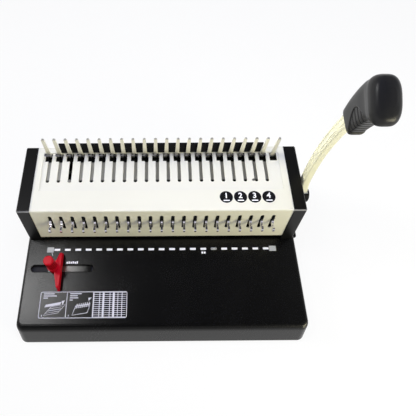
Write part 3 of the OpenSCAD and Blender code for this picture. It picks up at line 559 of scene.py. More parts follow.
class Finishes:
    """The finishes of this machine."""

    DEEP = (1.0, 0.06, 1.0)
    TRAY = MouldedPlastic("tray plastic", grey(0.0018), roughness=0.25, grain_mm=1.3,
                          relief_mm=0.08, paler=1.8, gloss=0.4)
    # The caps get a painted highlight along their front top edge
    CAP = EdgeHighlightPlastic("end cap plastic", (0.003, 0.003, 0.0031), roughness=0.36, grain_mm=0.8,
                        relief_mm=0.03, paler=1.7, gloss=0.19)
    TRIM = MouldedPlastic("trim plastic", (0.003, 0.0032, 0.0045), roughness=0.5, grain_mm=0.6,
                          relief_mm=0.03, paler=1.5, gloss=0.12)
    GRIP = MouldedPlastic("grip plastic", (0.011, 0.011, 0.0112), roughness=0.32, grain_mm=0.7,
                          relief_mm=0.02, paler=1.3, gloss=0.27)
    CHANNEL = MouldedPlastic("channel plastic", grey(0.03), roughness=0.6, grain_mm=0.6,
                             relief_mm=0.02, paler=1.3, gloss=0.3)
    RUBBER = MouldedPlastic("foot rubber", (0.015, 0.014, 0.013), roughness=0.8, grain_mm=1.4,
                            relief_mm=0.08, paler=1.8, gloss=0.3)
    RED = MouldedPlastic("red plastic", (0.47, 0.005, 0.016), roughness=0.18, grain_mm=2.0,
                         relief_mm=0.012, paler=1.2, gloss=0.1)
    KNOB = FlutedPlastic("red knob plastic", (0.48, 0.005, 0.015), roughness=0.18, grain_mm=2.0,
                         relief_mm=0.012, paler=1.2, gloss=0.1)
    CREAM = BakedPaint("cream paint", (0.80, 0.785, 0.645))
    SLOTTED = BakedPaint("cream paint on the slotted sheet", (0.79, 0.775, 0.65), roughness=0.42)
    LEVER = BakedPaint("gloss cream paint", (0.90, 0.88, 0.65), roughness=0.22, peel=(4.0, 1.0),
                       relief_mm=0.002, coat=0.4)
    BARE = DrawnSteel("bare steel", (0.42, 0.42, 0.41), roughness=0.38)
    # Dark steel made near-black as painted shade of the housing's interior
    INTERIOR_SHADE_STEEL = DrawnSteel("shade_blackened dark steel", grey(0.022), roughness=0.5)
    # Painted shade: the slide darkens towards its right end in the slot
    SLIDE = ShadedEndSteel("guide slide steel", grey(0.36), roughness=0.45, axis="X",
                         ends_mm=((-126.0, -99.0),))
    # Painted shade at the front ends of the top slots and at the notches behind
    HOOK_PLATE = ShadedEndSteel("hook plate steel", grey(0.50), roughness=0.45,
                              ends_mm=((70.5, 68.0), (95.5, 97.5)))
    SCREW = DrawnSteel("screw steel", grey(0.30), roughness=0.36, along=(1.0, 1.0, 1.0))
    BRIGHT = DrawnSteel("bright plate", (0.72, 0.71, 0.76), roughness=0.13, along=DEEP)
    # Painted shade where the pulls run back into the housing
    PULL = ShadedEndSteel("bright plate of the pulls", (0.82, 0.80, 0.88), roughness=0.10,
                        along=DEEP, ends_mm=((15.5, 19.0),))
    # Dark steel, darkened further as painted shade of the hooks down in their slots
    HOOK = DrawnSteel("hook steel", (0.24, 0.24, 0.27), roughness=0.13, along=DEEP)
    SPRING = DrawnSteel("spring steel", (0.42, 0.42, 0.44), roughness=0.3, along=(1.0, 1.0, 0.2))
    BRONZE = DrawnSteel("bush bronze", (0.52, 0.34, 0.16), roughness=0.35, along=(0.1, 1.0, 1.0))
    PEG = PegCoat("peg paint", (0.90, 0.88, 0.77))
    WHITE_INK = PrintInk("white ink", (0.98, 0.98, 0.93))
    GREY_INK = PrintInk("grey ink", (0.52, 0.53, 0.49))
    PANEL_INK = PrintInk("panel ink", (0.60, 0.59, 0.62))
    BLACK_INK = PrintInk("black ink", (0.004, 0.004, 0.005), roughness=0.55, gloss=0.2)


class CadDress:
    """Finishes of the pieces that come straight from the frame."""

    BY_SLOT = {
        Slot.BLACK_PLASTIC: Finishes.TRAY,
        Slot.GRIP_PLASTIC: Finishes.GRIP,
        Slot.TRIM_PLASTIC: Finishes.TRIM,
        Slot.FOOT_RUBBER: Finishes.RUBBER,
        Slot.CREAM_PAINT: Finishes.CREAM,
        Slot.BARE_STEEL: Finishes.BARE,
        Slot.FASTENER_STEEL: Finishes.SCREW,
        Slot.BRIGHT_STEEL: Finishes.BRIGHT,
        Slot.BUSH_BRONZE: Finishes.BRONZE,
        Slot.RED_PLASTIC: Finishes.RED,
    }
    BY_NODE = {
        "left_end_cap": Finishes.CAP,
        "right_end_cap": Finishes.CAP,
        "comb_backrest": Finishes.TRIM,
        "slot_plate": Finishes.SLOTTED,
        "handle_lever": Finishes.LEVER,
        "guide_slide": Finishes.SLIDE,
        "guide_knob": Finishes.KNOB,
        "return_springs": Finishes.SPRING,
        "comb_pegs": Finishes.PEG,
        "comb_hooks": Finishes.HOOK,
        "hook_plate": Finishes.HOOK_PLATE,
        **dict.fromkeys(("peg_rail", "press_bar", "punch_carrier", "punch_guide",
                         "left_side_frame", "right_side_frame"), Finishes.INTERIOR_SHADE_STEEL),
        **dict.fromkeys((f"selector_{k:02d}" for k in range(1, HOLES + 1)), Finishes.PULL),
    }

    def dress(self) -> None:
        """Give every node of the frame its finish."""
        parts = frame["record"]["subparts"]
        slots = {part["node"]: Slot(part["material_slot"]) for part in parts}
        for name, obj in frame["nodes"].items():
            finish = self.BY_NODE.get(name) or self.BY_SLOT[slots[name]]
            obj.data.materials.clear()
            obj.data.materials.append(finish.material())
            LOG.info("%s: %s", name, finish.name)


def linked(name: str, data: bpy.types.ID) -> Obj:
    """Put a new object into the scene.

    Args:
        name: Name of the object.
        data: Its mesh, text, light or camera.

    Returns:
        The object, at the origin.
    """
    obj = bpy.data.objects.new(name, data)
    bpy.context.scene.collection.objects.link(obj)
    return obj


def evaluated(obj: Obj) -> bpy.types.Mesh:
    """Give an object's evaluated shape as a plain mesh."""
    graph = bpy.context.evaluated_depsgraph_get()
    return bpy.data.meshes.new_from_object(obj.evaluated_get(graph), depsgraph=graph)


class GeoTree(Tree):
    """A Geometry Nodes tree with named inputs that ends in Realize Instances and Set Material."""

    def __init__(self, name: str, inputs: Mapping[str, str]) -> None:
        """Create the tree.

        Args:
            name: Name of the tree.
            inputs: Socket type of each named input; Geometry and Material come by themselves.
        """
        group = bpy.data.node_groups.new(name, "GeometryNodeTree")
        super().__init__(group)
        shape = {"Geometry": "NodeSocketGeometry"}
        for key, kind in {**shape, **inputs, "Material": "NodeSocketMaterial"}.items():
            group.interface.new_socket(key, in_out="INPUT", socket_type=kind)
        group.interface.new_socket("Geometry", in_out="OUTPUT", socket_type=shape["Geometry"])
        self.source = group.nodes.new("NodeGroupInput")

    def given(self, name: str) -> Sock:
        """Give one of the tree's inputs."""
        return Sock(self, self.source.outputs[name])

    def close(self, geometry: Sock) -> None:
        """End the tree.

        Args:
            geometry: What the tree has made.
        """
        plain = self.add("GeometryNodeRealizeInstances", inputs={"Geometry": geometry})
        dressed = self.add("GeometryNodeSetMaterial",
                           inputs={"Geometry": plain, "Material": self.given("Material")})
        self.add("NodeGroupOutput", inputs={"Geometry": dressed})

    def apply(self, obj: Obj, values: Mapping[str, Any]) -> None:
        """Run the tree on an object and keep the result as its plain mesh.

        Args:
            obj: Object whose mesh is the tree's geometry.
            values: Value of each named input.
        """
        modifier = obj.modifiers.new(self.nodes.name, "NODES")
        modifier.node_group = self.nodes
        for item in self.nodes.interface.items_tree:
            if item.in_out == "INPUT" and item.name in values:
                modifier[item.identifier] = values[item.name]
        mesh = evaluated(obj)
        obj.modifiers.remove(modifier)
        obj.data = mesh


class RowTree(GeoTree):
    """Copies of the object's own mesh in a straight row."""

    def __init__(self) -> None:
        """Build the tree."""
        kinds = {"Count": "NodeSocketInt", "Start": "NodeSocketVector", "Step": "NodeSocketVector"}
        super().__init__("row of copies", kinds)
        line = self.add("GeometryNodeMeshLine", {"mode": "OFFSET"},
                        {"Count": self.given("Count"), "Start Location": self.given("Start"),
                         "Offset": self.given("Step")})
        copies = self.add("GeometryNodeInstanceOnPoints",
                          inputs={"Points": line, "Instance": self.given("Geometry")})
        self.close(copies)


class BeadTree(GeoTree):
    """A flat bead swept along the edges of the object's mesh."""

    def __init__(self) -> None:
        """Build the tree."""
        super().__init__("bead along a path",
                         {"Width": "NodeSocketFloat", "Height": "NodeSocketFloat"})
        path = self.add("GeometryNodeMeshToCurve", inputs={"Mesh": self.given("Geometry")})
        upright = self.add("GeometryNodeSetCurveNormal", {"mode": "Z_UP"}, {"Curve": path})
        section = self.add("GeometryNodeCurvePrimitiveQuadrilateral", {"mode": "RECTANGLE"},
                           {"Width": self.given("Width"), "Height": self.given("Height")})
        bead = self.add("GeometryNodeCurveToMesh",
                        inputs={"Curve": upright, "Profile Curve": section, "Fill Caps": True})
        self.close(bead)


class Workshop:
    """Makes meshes in millimetres and hands finished pieces to the frame."""

    def __init__(self) -> None:
        """Build the trees that several pieces share."""
        self.rows = RowTree()
        self.beads = BeadTree()

    @staticmethod
    def mesh(name: str, points: Sequence[Point], faces: Faces,
             edges: Sequence[tuple[int, int]] = ()) -> Obj:
        """Make an object from points in millimetres.

        Args:
            name: Name of the piece.
            points: Corners in the shared frame.
            faces: Corner numbers of each face.
            edges: Corner numbers of loose edges.

        Returns:
            The object, at the origin.
        """
        data = bpy.data.meshes.new(name)
        data.from_pydata([Vector(p) * MM for p in points], edges, faces)
        data.update()
        return linked(name, data)

    def prism(self, name: str, outline: Sequence[Flat], low: float, high: float) -> Obj:
        """Make an upright prism from an outline that runs anticlockwise."""
        return self.loft(name, [[(x, y, z) for x, y in outline] for z in (low, high)])

    def trough(self, name: str, low: Point, high: Point, wall: float) -> Obj:
        """Make a box that is open at the top.

        Args:
            name: Name of the piece.
            low: Lowest corner of the outside.
            high: Highest corner of the outside.
            wall: Thickness of the walls and the floor.

        Returns:
            The object.
        """
        def loop(inset: float, z: float) -> list[Point]:
            """Give the four corners at a height, anticlockwise."""
            x0, y0, x1, y1 = low[0] + inset, low[1] + inset, high[0] - inset, high[1] - inset
            return [(x0, y0, z), (x1, y0, z), (x1, y1, z), (x0, y1, z)]
        outside = [loop(0.0, low[2]), loop(0.0, high[2])]
        return self.loft(name, [*outside, loop(wall, high[2]), loop(wall, low[2] + wall)])

    def loft(self, name: str, rings: Sequence[Sequence[Point]]) -> Obj:
        """Join rings of points into a closed skin.

        Args:
            name: Name of the piece.
            rings: Rings of equally many points, anticlockwise as seen from the next ones.

        Returns:
            The object.
        """
        count = len(rings[0])
        last = (len(rings) - 1) * count
        faces = [tuple(reversed(range(count))), tuple(range(last, last + count))]
        for base in range(0, last, count):
            for k in range(count):
                a, b = base + k, base + (k + 1) % count
                faces.append((a, b, b + count, a + count))
        return self.mesh(name, [point for ring in rings for point in ring], faces)

    def row(self, obj: Obj, count: int, start: Point, step: Point, finish: Finish) -> Obj:
        """Repeat an object's mesh in a row.

        Args:
            obj: Object at the origin.
            count: How many copies.
            start: Place of the first, in millimetres.
            step: From each to the next.
            finish: Finish of all.

        Returns:
            The same object, with the row as its mesh.
        """
        self.rows.apply(obj, {"Count": count, "Start": Vector(start) * MM,
                              "Step": Vector(step) * MM, "Material": finish.material()})
        return obj

    def bead(self, name: str, path: Sequence[Point], closed: bool, width: float, height: float,
             finish: Finish) -> Obj:
        """Sweep a bead along a path.

        Args:
            name: Name of the piece.
            path: Points of the path, in millimetres.
            closed: True for a path that returns to its start.
            width: Width of the bead.
            height: Height of the bead.
            finish: Finish of the bead.

        Returns:
            The object.
        """
        count = len(path)
        edges = [(k, (k + 1) % count) for k in range(count if closed else count - 1)]
        obj = self.mesh(name, path, [], edges)
        self.beads.apply(obj, {"Width": width * MM, "Height": height * MM,
                               "Material": finish.material()})
        return obj

    @staticmethod
    def join(name: str, pieces: Sequence[Obj]) -> Obj:
        """Make one object of several that share a finish and a body.

        Args:
            name: Name of the joined piece.
            pieces: The objects; the first takes in the others.

        Returns:
            The joined piece.
        """
        first = pieces[0]
        with bpy.context.temp_override(active_object=first, selected_editable_objects=pieces):
            bpy.ops.object.join()
        first.name = name
        return first

    @staticmethod
    def hand_over(obj: Obj, body: Body, slot: Slot, finish: Finish) -> None:
        """Dress a finished piece and let it ride on its body.

        Args:
            obj: The piece.
            body: Body that it moves with.
            slot: Slot of the record that it belongs to; not used.
            finish: Its finish.
        """
        obj.data.materials.clear()
        obj.data.materials.append(finish.material())
        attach(obj, body.value)
        LOG.info("%s rides on %s", obj.name, body.value)


def round_rect(width: float, depth: float, radius: float, centre: Flat = (0.0, 0.0),
               steps: int = 5) -> list[Flat]:
    """Give the outline of a rectangle with round corners.

    Args:
        width: Size along X.
        depth: Size along Y.
        radius: Radius of the corners.
        centre: Middle of the rectangle.
        steps: Points on each corner, less one.

    Returns:
        Corners, anticlockwise.
    """
    points = []
    for quarter, (sx, sy) in enumerate(((1, 1), (-1, 1), (-1, -1), (1, -1))):
        cx = centre[0] + sx * (width / 2 - radius)
        cy = centre[1] + sy * (depth / 2 - radius)
        for k in range(steps + 1):
            turn = math.radians(90 * quarter + 90 * k / steps)
            points.append((cx + radius * math.cos(turn), cy + radius * math.sin(turn)))
    return points


def moved(outline: Sequence[Flat], dx: float, dy: float) -> list[Flat]:
    """Give an outline moved by a distance."""
    return [(x + dx, y + dy) for x, y in outline]


def middle(node: str) -> Vector:
    """Give the middle of a node's box in millimetres."""
    low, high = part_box(node)
    return (Vector(low) + Vector(high)) / 2 / MM


@dataclass
class TrayInk:
    """Ink on the face of the paper tray."""

    shop: Workshop
    ink: float = 0.05
    sharp: float = 0.1
    bar_round: float = 0.3

    @property
    def top(self) -> float:
        """Height of the tray's face."""
        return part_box("base_tray")[1][2] / MM

    def flat(self, name: str, outline: Sequence[Flat], lift: float = 0.0) -> Obj:
        """Make a patch of ink."""
        return self.shop.prism(name, outline, self.top + lift, self.top + lift + self.ink)

    def bar(self, x: float, y: float, width: float, depth: float) -> Obj:
        """Make a bar of ink with rounded ends."""
        radius = min(width, depth) * self.bar_round
        return self.flat("bar", round_rect(width, depth, radius, (x, y)))

    def line(self, path: Sequence[Flat], closed: bool, width: float, finish: Finish) -> Obj:
        """Make a printed line."""
        points = [(x, y, self.top + self.ink / 2) for x, y in path]
        return self.shop.bead("line", points, closed, width, self.ink, finish)

    def publish(self, name: str, pieces: Sequence[Obj], finish: Finish) -> None:
        """Hand over patches and lines of ink as one piece."""
        self.shop.hand_over(self.shop.join(name, pieces), Body.BASE, Slot.BLACK_PLASTIC, finish)


@dataclass
class TrayMarks(TrayInk):
    """White and grey marks for the holes, the sheet and the guide."""

    dash: Flat = (7.8, 3.0)
    dash_round: float = 0.5
    dash_y: float = -3.3
    outlined: int = 15
    ring: Flat = (7.0, 2.4)
    ring_w: float = 0.8
    core: Flat = (4.4, 1.0)
    tag: Flat = (9.2, 7.4)
    tag_lines: int = 6
    tag_fill: float = 0.86
    tag_over: float = 1.0
    leader: Outline = ((0.0, -0.3), (1.2, -5.0))
    leader_w: float = 0.9
    sheet_l: float = 297.0
    caption: Flat = (-127.6, -21.7)
    caption_bar: Flat = (1.9, 2.7)
    caption_bars: int = 6
    caption_step: float = 2.7
    caption_taller: float = 0.6
    mark_bar: Flat = (2.4, 3.0)
    mark_step: float = 3.2
    mark_drop: float = 5.4

    @property
    def pitch(self) -> float:
        """Distance between two holes of the comb."""
        return (middle(f"selector_{HOLES:02d}")[0] - middle("selector_01")[0]) / (HOLES - 1)

    def hole_x(self, index: int) -> float:
        """Give X of a hole, counted from 0 at the left."""
        return (index - (HOLES - 1) / 2) * self.pitch

    def build(self) -> None:
        """Print the marks."""
        self.dashes()
        self.tags()
        self.words()

    def dashes(self) -> None:
        """Print one dash for each hole; one of them is only an outline."""
        pieces = []
        for first, end in ((0, self.outlined), (self.outlined + 1, HOLES)):
            unit = self.flat("dash", round_rect(*self.dash, self.dash_round))
            start, step = (self.hole_x(first), self.dash_y, 0.0), (self.pitch, 0.0, 0.0)
            pieces.append(self.shop.row(unit, end - first, start, step, Finishes.WHITE_INK))
        self.publish("hole_dashes", pieces, Finishes.WHITE_INK)
        place = (self.hole_x(self.outlined), self.dash_y)
        ring = self.line(round_rect(*self.ring, self.ring_w, place), True, self.ring_w,
                         Finishes.GREY_INK)
        self.publish("outlined_dash", [ring, self.bar(*place, *self.core)], Finishes.GREY_INK)

    def tags(self) -> None:
        """Print a lined tag at each edge of the largest sheet, with a leader to the guide."""
        wide, deep = self.tag
        step = deep / self.tag_lines
        foot = self.dash_y - deep / 2
        pieces = []
        for side in (-1, 1):
            unit = self.flat("tag", round_rect(wide, step * self.tag_fill, self.sharp))
            start = (side * (self.sheet_l / 2 + wide / 2 - self.tag_over), foot + step / 2, 0.0)
            pieces.append(self.shop.row(unit, self.tag_lines, start, (0.0, step, 0.0),
                                        Finishes.GREY_INK))
        leader = moved(self.leader, -self.sheet_l / 2 - self.tag_over, foot)
        pieces.append(self.line(leader, False, self.leader_w, Finishes.GREY_INK))
        self.publish("sheet_tags", pieces, Finishes.GREY_INK)

    def words(self) -> None:
        """Print short plain bars where the tray has a caption."""
        wide, deep = self.caption_bar
        pieces = []
        for k in range(self.caption_bars):
            taller = self.caption_taller * (k % 2)
            x, y = self.caption[0] + self.caption_step * k, self.caption[1] + taller / 2
            pieces.append(self.bar(x, y, wide, deep + taller))
        for side in (-0.5, 0.5):
            x = self.hole_x(self.outlined - 1) + side * self.mark_step
            pieces.append(self.bar(x, self.dash_y - self.mark_drop, *self.mark_bar))
        self.publish("caption_bars", pieces, Finishes.WHITE_INK)


@dataclass(frozen=True)
class Mark:
    """Equal marks in a picture, a step apart: lines of a width, or patches without one."""

    picture: int
    path: Outline
    width: float = 0.0
    closed: bool = True
    count: int = 1
    step: Flat = (0.0, 0.0)
    lift: float = 0.0


@dataclass
class TrayPanel(TrayInk):
    """The printed panel: two plain pictures and a ruled table."""

    size: Flat = (111.6, 33.0)
    mid: Flat = (-101.5, -77.9)
    edge_w: float = 0.95
    edge_round: float = 2.0
    dividers: Flat = (0.306, 0.611)
    pictures_at: Outline = ((0.02, 0.10), (0.326, 0.10))
    bars: tuple[tuple[float, ...], ...] = ((14.0, 17.0, 6.0), (15.0, 10.0, 11.0, 4.0))
    bars_at: Flat = (1.4, 0.93)
    bar_deep: float = 1.2
    bar_step: float = 2.7
    foot_bar: Flat = (0.9, 2.2)
    foot_bar_at: Flat = (1.6, 0.09)
    sheets: Mark = Mark(0, ((4.0, 0.0), (22.0, 3.0), (26.0, 8.5), (8.0, 5.5)), 0.7, count=3,
                        step=(2.2, 2.6))
    slot: Mark = Mark(0, ((4.0, 10.0), (24.0, 13.5), (25.5, 17.0), (5.5, 13.5)), lift=0.01)
    push: Mark = Mark(0, ((27.0, 13.0), (29.5, 19.0), (25.5, 18.0)))
    page: Mark = Mark(1, ((6.0, 0.0), (25.0, 3.0), (28.0, 12.0), (9.0, 9.0)), 0.9)
    spine: Mark = Mark(1, ((9.0, 10.2), (28.0, 13.2), (28.6, 15.0), (9.6, 12.0)))
    teeth: Mark = Mark(1, ((11.0, 8.4), (11.7, 14.4)), 1.0, False, 7, (2.6, 0.4))
    pull: Mark = Mark(1, ((26.0, 18.0), (30.0, 22.5), (25.5, 22.0)))
    table_x: Flat = (0.618, 0.988)
    table_y: Flat = (0.03, 0.97)
    table_rows: int = 12
    rule_w: float = 0.6
    columns: Outline = ((0.0, 0.8), (0.18, 0.9), (0.30, 2.4), (0.50, 0.8), (0.62, 2.6),
                        (0.75, 0.8), (0.88, 0.9))
    column_lift: float = 0.005

    def build(self) -> None:
        """Print the panel."""
        self.frame()
        self.pictures()
        self.table()

    def x(self, share: float) -> float:
        """Give X at a share of the panel's width."""
        return self.mid[0] + (share - 0.5) * self.size[0]

    def y(self, share: float) -> float:
        """Give Y at a share of the panel's depth."""
        return self.mid[1] + (share - 0.5) * self.size[1]

    def stroke(self, path: Sequence[Flat], closed: bool, width: float) -> Obj:
        """Make a line in the panel's ink."""
        return self.line(path, closed, width, Finishes.PANEL_INK)

    def frame(self) -> None:
        """Print the outline of the panel and its two dividers."""
        pieces = [self.stroke(round_rect(*self.size, self.edge_round, self.mid), True, self.edge_w)]
        for x in map(self.x, self.dividers):
            pieces.append(self.stroke([(x, self.y(0.0)), (x, self.y(1.0))], False, self.edge_w))
        self.publish("panel_frame", pieces, Finishes.PANEL_INK)

    def pictures(self) -> None:
        """Print two plain pictures: a stack of sheets by a slot, and a comb on a booklet."""
        pieces = []
        for (at, _), widths in zip(self.pictures_at, self.bars):
            x, y = self.x(at) + self.bars_at[0], self.y(self.bars_at[1])
            pieces += [self.bar(x + width / 2, y - self.bar_step * k, width, self.bar_deep)
                       for k, width in enumerate(widths)]
            x, y = self.x(at) + self.foot_bar_at[0], self.y(self.foot_bar_at[1])
            pieces.append(self.bar(x, y, *self.foot_bar))
        stack = (self.sheets, self.slot, self.push)
        for mark in (*stack, self.page, self.spine, self.teeth, self.pull):
            pieces += [self.draw(mark, k) for k in range(mark.count)]
        self.publish("panel_pictures", pieces, Finishes.PANEL_INK)

    def draw(self, mark: Mark, index: int) -> Obj:
        """Draw one of several equal marks.

        Args:
            mark: What is drawn.
            index: Which of them, from 0.

        Returns:
            The line or the patch.
        """
        across, up = self.pictures_at[mark.picture]
        dx, dy = (step * index for step in mark.step)
        path = moved(mark.path, self.x(across) + dx, self.y(up) + dy)
        if mark.width:
            return self.stroke(path, mark.closed, mark.width)
        return self.flat("patch", path, mark.lift)

    def table(self) -> None:
        """Print the ruled table with bars for its entries."""
        (left, right), (foot, head) = map(self.x, self.table_x), map(self.y, self.table_y)
        wide, deep = right - left, head - foot
        rule = self.flat("rule", round_rect(wide, self.rule_w, self.sharp))
        pieces = [self.shop.row(rule, self.table_rows + 1, (left + wide / 2, foot, 0.0),
                                (0.0, deep / self.table_rows, 0.0), Finishes.PANEL_INK)]
        for share, width in self.columns:
            place = (left + share * wide, foot + deep / 2)
            column = round_rect(width, deep, self.sharp, place)
            pieces.append(self.flat("column", column, self.column_lift))
        self.publish("panel_table", pieces, Finishes.PANEL_INK)


@dataclass
class TopDiscs:
    """Four black discs on the top, each with a plain number over a bar."""

    shop: Workshop
    across: float = 16.7
    facets: int = 48
    first_x: float = 82.0
    step: float = 18.0
    y: float = 41.9
    ink: float = 0.08
    raised: float = 0.6
    count: int = 4
    number_h: float = 10.4
    number_up: float = 1.6
    number_bolder: float = 0.25
    bar: Flat = (8.0, 1.5)
    bar_round: float = 0.5
    bar_down: float = 4.9

    def build(self) -> None:
        """Make the discs, their numbers and the bars under them."""
        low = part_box("housing_cover")[1][2] / MM
        face = low + self.ink
        turns = [math.tau * k / self.facets for k in range(self.facets)]
        radius = self.across / 2
        edge = [(radius * math.cos(turn), radius * math.sin(turn)) for turn in turns]
        disc = self.shop.prism("top_discs", edge, low, face)
        self.spread(disc, self.y, Finishes.BLACK_INK)
        bar = round_rect(*self.bar, self.bar_round)
        bar = self.shop.prism("disc_bars", bar, face, face + self.raised * self.ink)
        self.spread(bar, self.y - self.bar_down, Finishes.WHITE_INK)
        numbers = self.shop.join("disc_numbers", [self.number(k, face) for k in range(self.count)])
        self.shop.hand_over(numbers, Body.BASE, Slot.CREAM_PAINT, Finishes.WHITE_INK)

    def spread(self, unit: Obj, y: float, finish: Finish) -> None:
        """Repeat a mark for each disc and hand the row over."""
        self.shop.row(unit, self.count, (self.first_x, y, 0.0), (self.step, 0.0, 0.0), finish)
        self.shop.hand_over(unit, Body.BASE, Slot.CREAM_PAINT, finish)

    def number(self, index: int, low: float) -> Obj:
        """Make one number as a plain mesh.

        Args:
            index: Which disc, from 0.
            low: Height that it stands on.

        Returns:
            The number, in place.
        """
        half = self.ink * self.raised / 2
        text = bpy.data.curves.new("number", "FONT")
        text.body = str(index + 1)
        text.size = self.number_h * MM
        text.align_x = "CENTER"
        text.align_y = "CENTER"
        text.extrude = half * MM
        text.offset = self.number_bolder * MM
        made = linked("number", text)
        mesh = evaluated(made)
        bpy.data.objects.remove(made)
        place = (self.first_x + self.step * index, self.y + self.number_up, low + half)
        mesh.transform(Matrix.Translation(Vector(place) * MM))
        return linked("number", mesh)


@dataclass
class GuideChannel:
    """The channel under the guide's slot and the thin rim round the slot."""

    shop: Workshop
    slot: Flat = (83.4, 9.3)
    slot_mid: Flat = (-133.32, -29.5)
    low: Point = (-181.0, -40.5, 23.3)
    high: Point = (-46.5, -18.5, 27.5)
    wall: float = 0.9
    rim: Flat = (0.9, 0.1)
    rim_flat: float = 0.01
    rim_steps: int = 10

    def build(self) -> None:
        """Make both."""
        channel = self.shop.trough("guide_channel", self.low, self.high, self.wall)
        self.shop.hand_over(channel, Body.BASE, Slot.BLACK_PLASTIC, Finishes.CHANNEL)
        width, depth = (size + self.rim[0] for size in self.slot)
        edge = round_rect(width, depth, depth / 2 - self.rim_flat, self.slot_mid, self.rim_steps)
        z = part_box("base_tray")[1][2] / MM + self.rim[1] / 2
        path = [(x, y, z) for x, y in edge]
        rim = self.shop.bead("guide_slot_rim", path, True, *self.rim, Finishes.TRAY)
        self.shop.hand_over(rim, Body.BASE, Slot.BLACK_PLASTIC, Finishes.TRAY)


@dataclass
class HandleGrip:
    """The lever's grip as a fine loft with a ribbed finger recess on its lower front."""

    shop: Workshop
    centre: Flat = (-134.656, 193.031)
    radius: float = 197.0
    lean: float = 7.6
    length: float = 64.0
    across: float = 26.66
    deep: float = 45.8
    rows: int = 160
    sides: int = 168
    finer: int = 8
    recess: Flat = (0.06, 0.62)
    recess_reach: float = 1.1
    recess_depth: float = 0.9
    recess_edge: float = 0.8
    arch_lean: float = 1.36
    arch_full: float = 0.6
    rib_step: float = 5.8
    rib_depth: float = 0.7
    rib_width: float = 0.09
    crease: float = 40.0
    sections: tuple[tuple[float, ...], ...] = (
        (0.0, 0.58, 0.6, 0.0, 0.4), (0.02, 0.65, 0.645, 0.0, 0.4), (0.06, 0.685, 0.66, 0.0, 0.4),
        (0.3, 0.75, 0.74, -0.6, 0.42), (0.5, 0.82, 0.79, -0.7, 0.44),
        (0.68, 0.87, 0.84, -0.4, 0.46), (0.76, 0.94, 0.94, 2.0, 0.54), (0.84, 1.0, 1.0, 3.0, 0.62),
        (0.92, 0.95, 0.92, 3.3, 0.7), (0.97, 0.73, 0.75, 3.3, 0.78), (1.0, 0.36, 0.35, 3.4, 0.8))

    def build(self) -> None:
        """Make the grip in place of the plain one."""
        rings = [self.ring(k / self.rows) for k in range(self.rows + 1)]
        grip = self.shop.loft("ribbed_grip", rings)
        grip.data.shade_smooth()
        grip.data.set_sharp_from_angle(angle=math.radians(self.crease))
        self.shop.hand_over(grip, Body.LEVER, Slot.GRIP_PLASTIC, Finishes.GRIP)
        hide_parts("handle_grip")

    def slope(self, index: int) -> list[float]:
        """Give how fast each value of the sections changes at one of them."""
        before, after = self.sections[max(index - 1, 0)], self.sections[index:index + 2][-1]
        return [(b - a) / (after[0] - before[0]) for a, b in zip(before, after)]

    def section(self, share: float) -> list[float]:
        """Give the section's values at a share of the length.

        Args:
            share: From 0 at the lever to 1 at the end.

        Returns:
            Place, width, depth, set forward and roundness.
        """
        index = max(k for k in range(len(self.sections) - 1) if self.sections[k][0] <= share)
        first, second = self.sections[index], self.sections[index + 1]
        span = second[0] - first[0]
        t = (share - first[0]) / span
        weights = (2 * t ** 3 - 3 * t ** 2 + 1, (t ** 3 - 2 * t ** 2 + t) * span,
                   3 * t ** 2 - 2 * t ** 3, (t ** 3 - t ** 2) * span)
        columns = zip(first, self.slope(index), second, self.slope(index + 1))
        return [sum(w * v for w, v in zip(weights, column)) for column in columns]

    def outline(self, width: float, depth: float, roundness: float) -> np.ndarray:
        """Give a rounded section with evenly spaced points.

        Args:
            width: Half of its size across.
            depth: Half of its size from front to back.
            roundness: Exponent of its corners.

        Returns:
            Rows of X and depth, anticlockwise from the right.
        """
        count = self.finer * self.sides
        turns = math.tau * (np.arange(count + 1) + 0.5) / count
        ways = np.stack((np.cos(turns), np.sin(turns)))
        x, d = np.copysign(np.abs(ways) ** roundness, ways) * [[width], [depth]]
        runs = np.append(0.0, np.cumsum(np.hypot(np.diff(x), np.diff(d))))
        goals = runs[-1] * np.arange(self.sides) / self.sides
        return np.stack((np.interp(goals, runs, x), np.interp(goals, runs, d)), axis=1)

    def carved(self, share: float, place: np.ndarray, depth: float) -> np.ndarray:
        """Give how deep the finger recess is round a section.

        Args:
            share: Share of the grip's length.
            place: From -1 at the front to 1 at the back.
            depth: Half of the section's size from front to back.

        Returns:
            Depths in millimetres.
        """
        along = (share - self.recess[0]) / (self.recess[1] - self.recess[0])
        if not 0.0 < along < 1.0:
            return np.zeros_like(place)
        arch = math.sin(math.pi * along ** self.arch_lean) ** self.arch_full
        inside = (self.recess_reach * arch - 1.0 - place) * depth / self.recess_edge
        phase = share * self.length / self.rib_step % 1.0
        groove = math.exp(-(min(phase, 1.0 - phase) / self.rib_width) ** 2)
        return np.clip(inside, 0.0, 1.0) * (self.recess_depth + self.rib_depth * groove)

    def ring(self, share: float) -> list[Point]:
        """Give one ring of the grip.

        Args:
            share: Share of the grip's length.

        Returns:
            Points in the shared frame.
        """
        _, wide, deep, forward, roundness = self.section(share)
        depth = deep * self.deep / 2
        flat = self.outline(wide * self.across / 2, depth, roundness)
        tangent = np.roll(flat, -1, axis=0) - np.roll(flat, 1, axis=0)
        tangent /= np.linalg.norm(tangent, axis=1, keepdims=True)
        cut = self.carved(share, flat[:, 1] / depth, depth)
        x = middle("handle_grip")[0] + flat[:, 0] - tangent[:, 1] * cut
        out = self.radius + flat[:, 1] + tangent[:, 0] * cut - forward
        turn = math.radians(self.lean) + share * self.length / self.radius
        y, z = self.centre[0] + out * math.cos(turn), self.centre[1] + out * math.sin(turn)
        return list(zip(x, y, z))


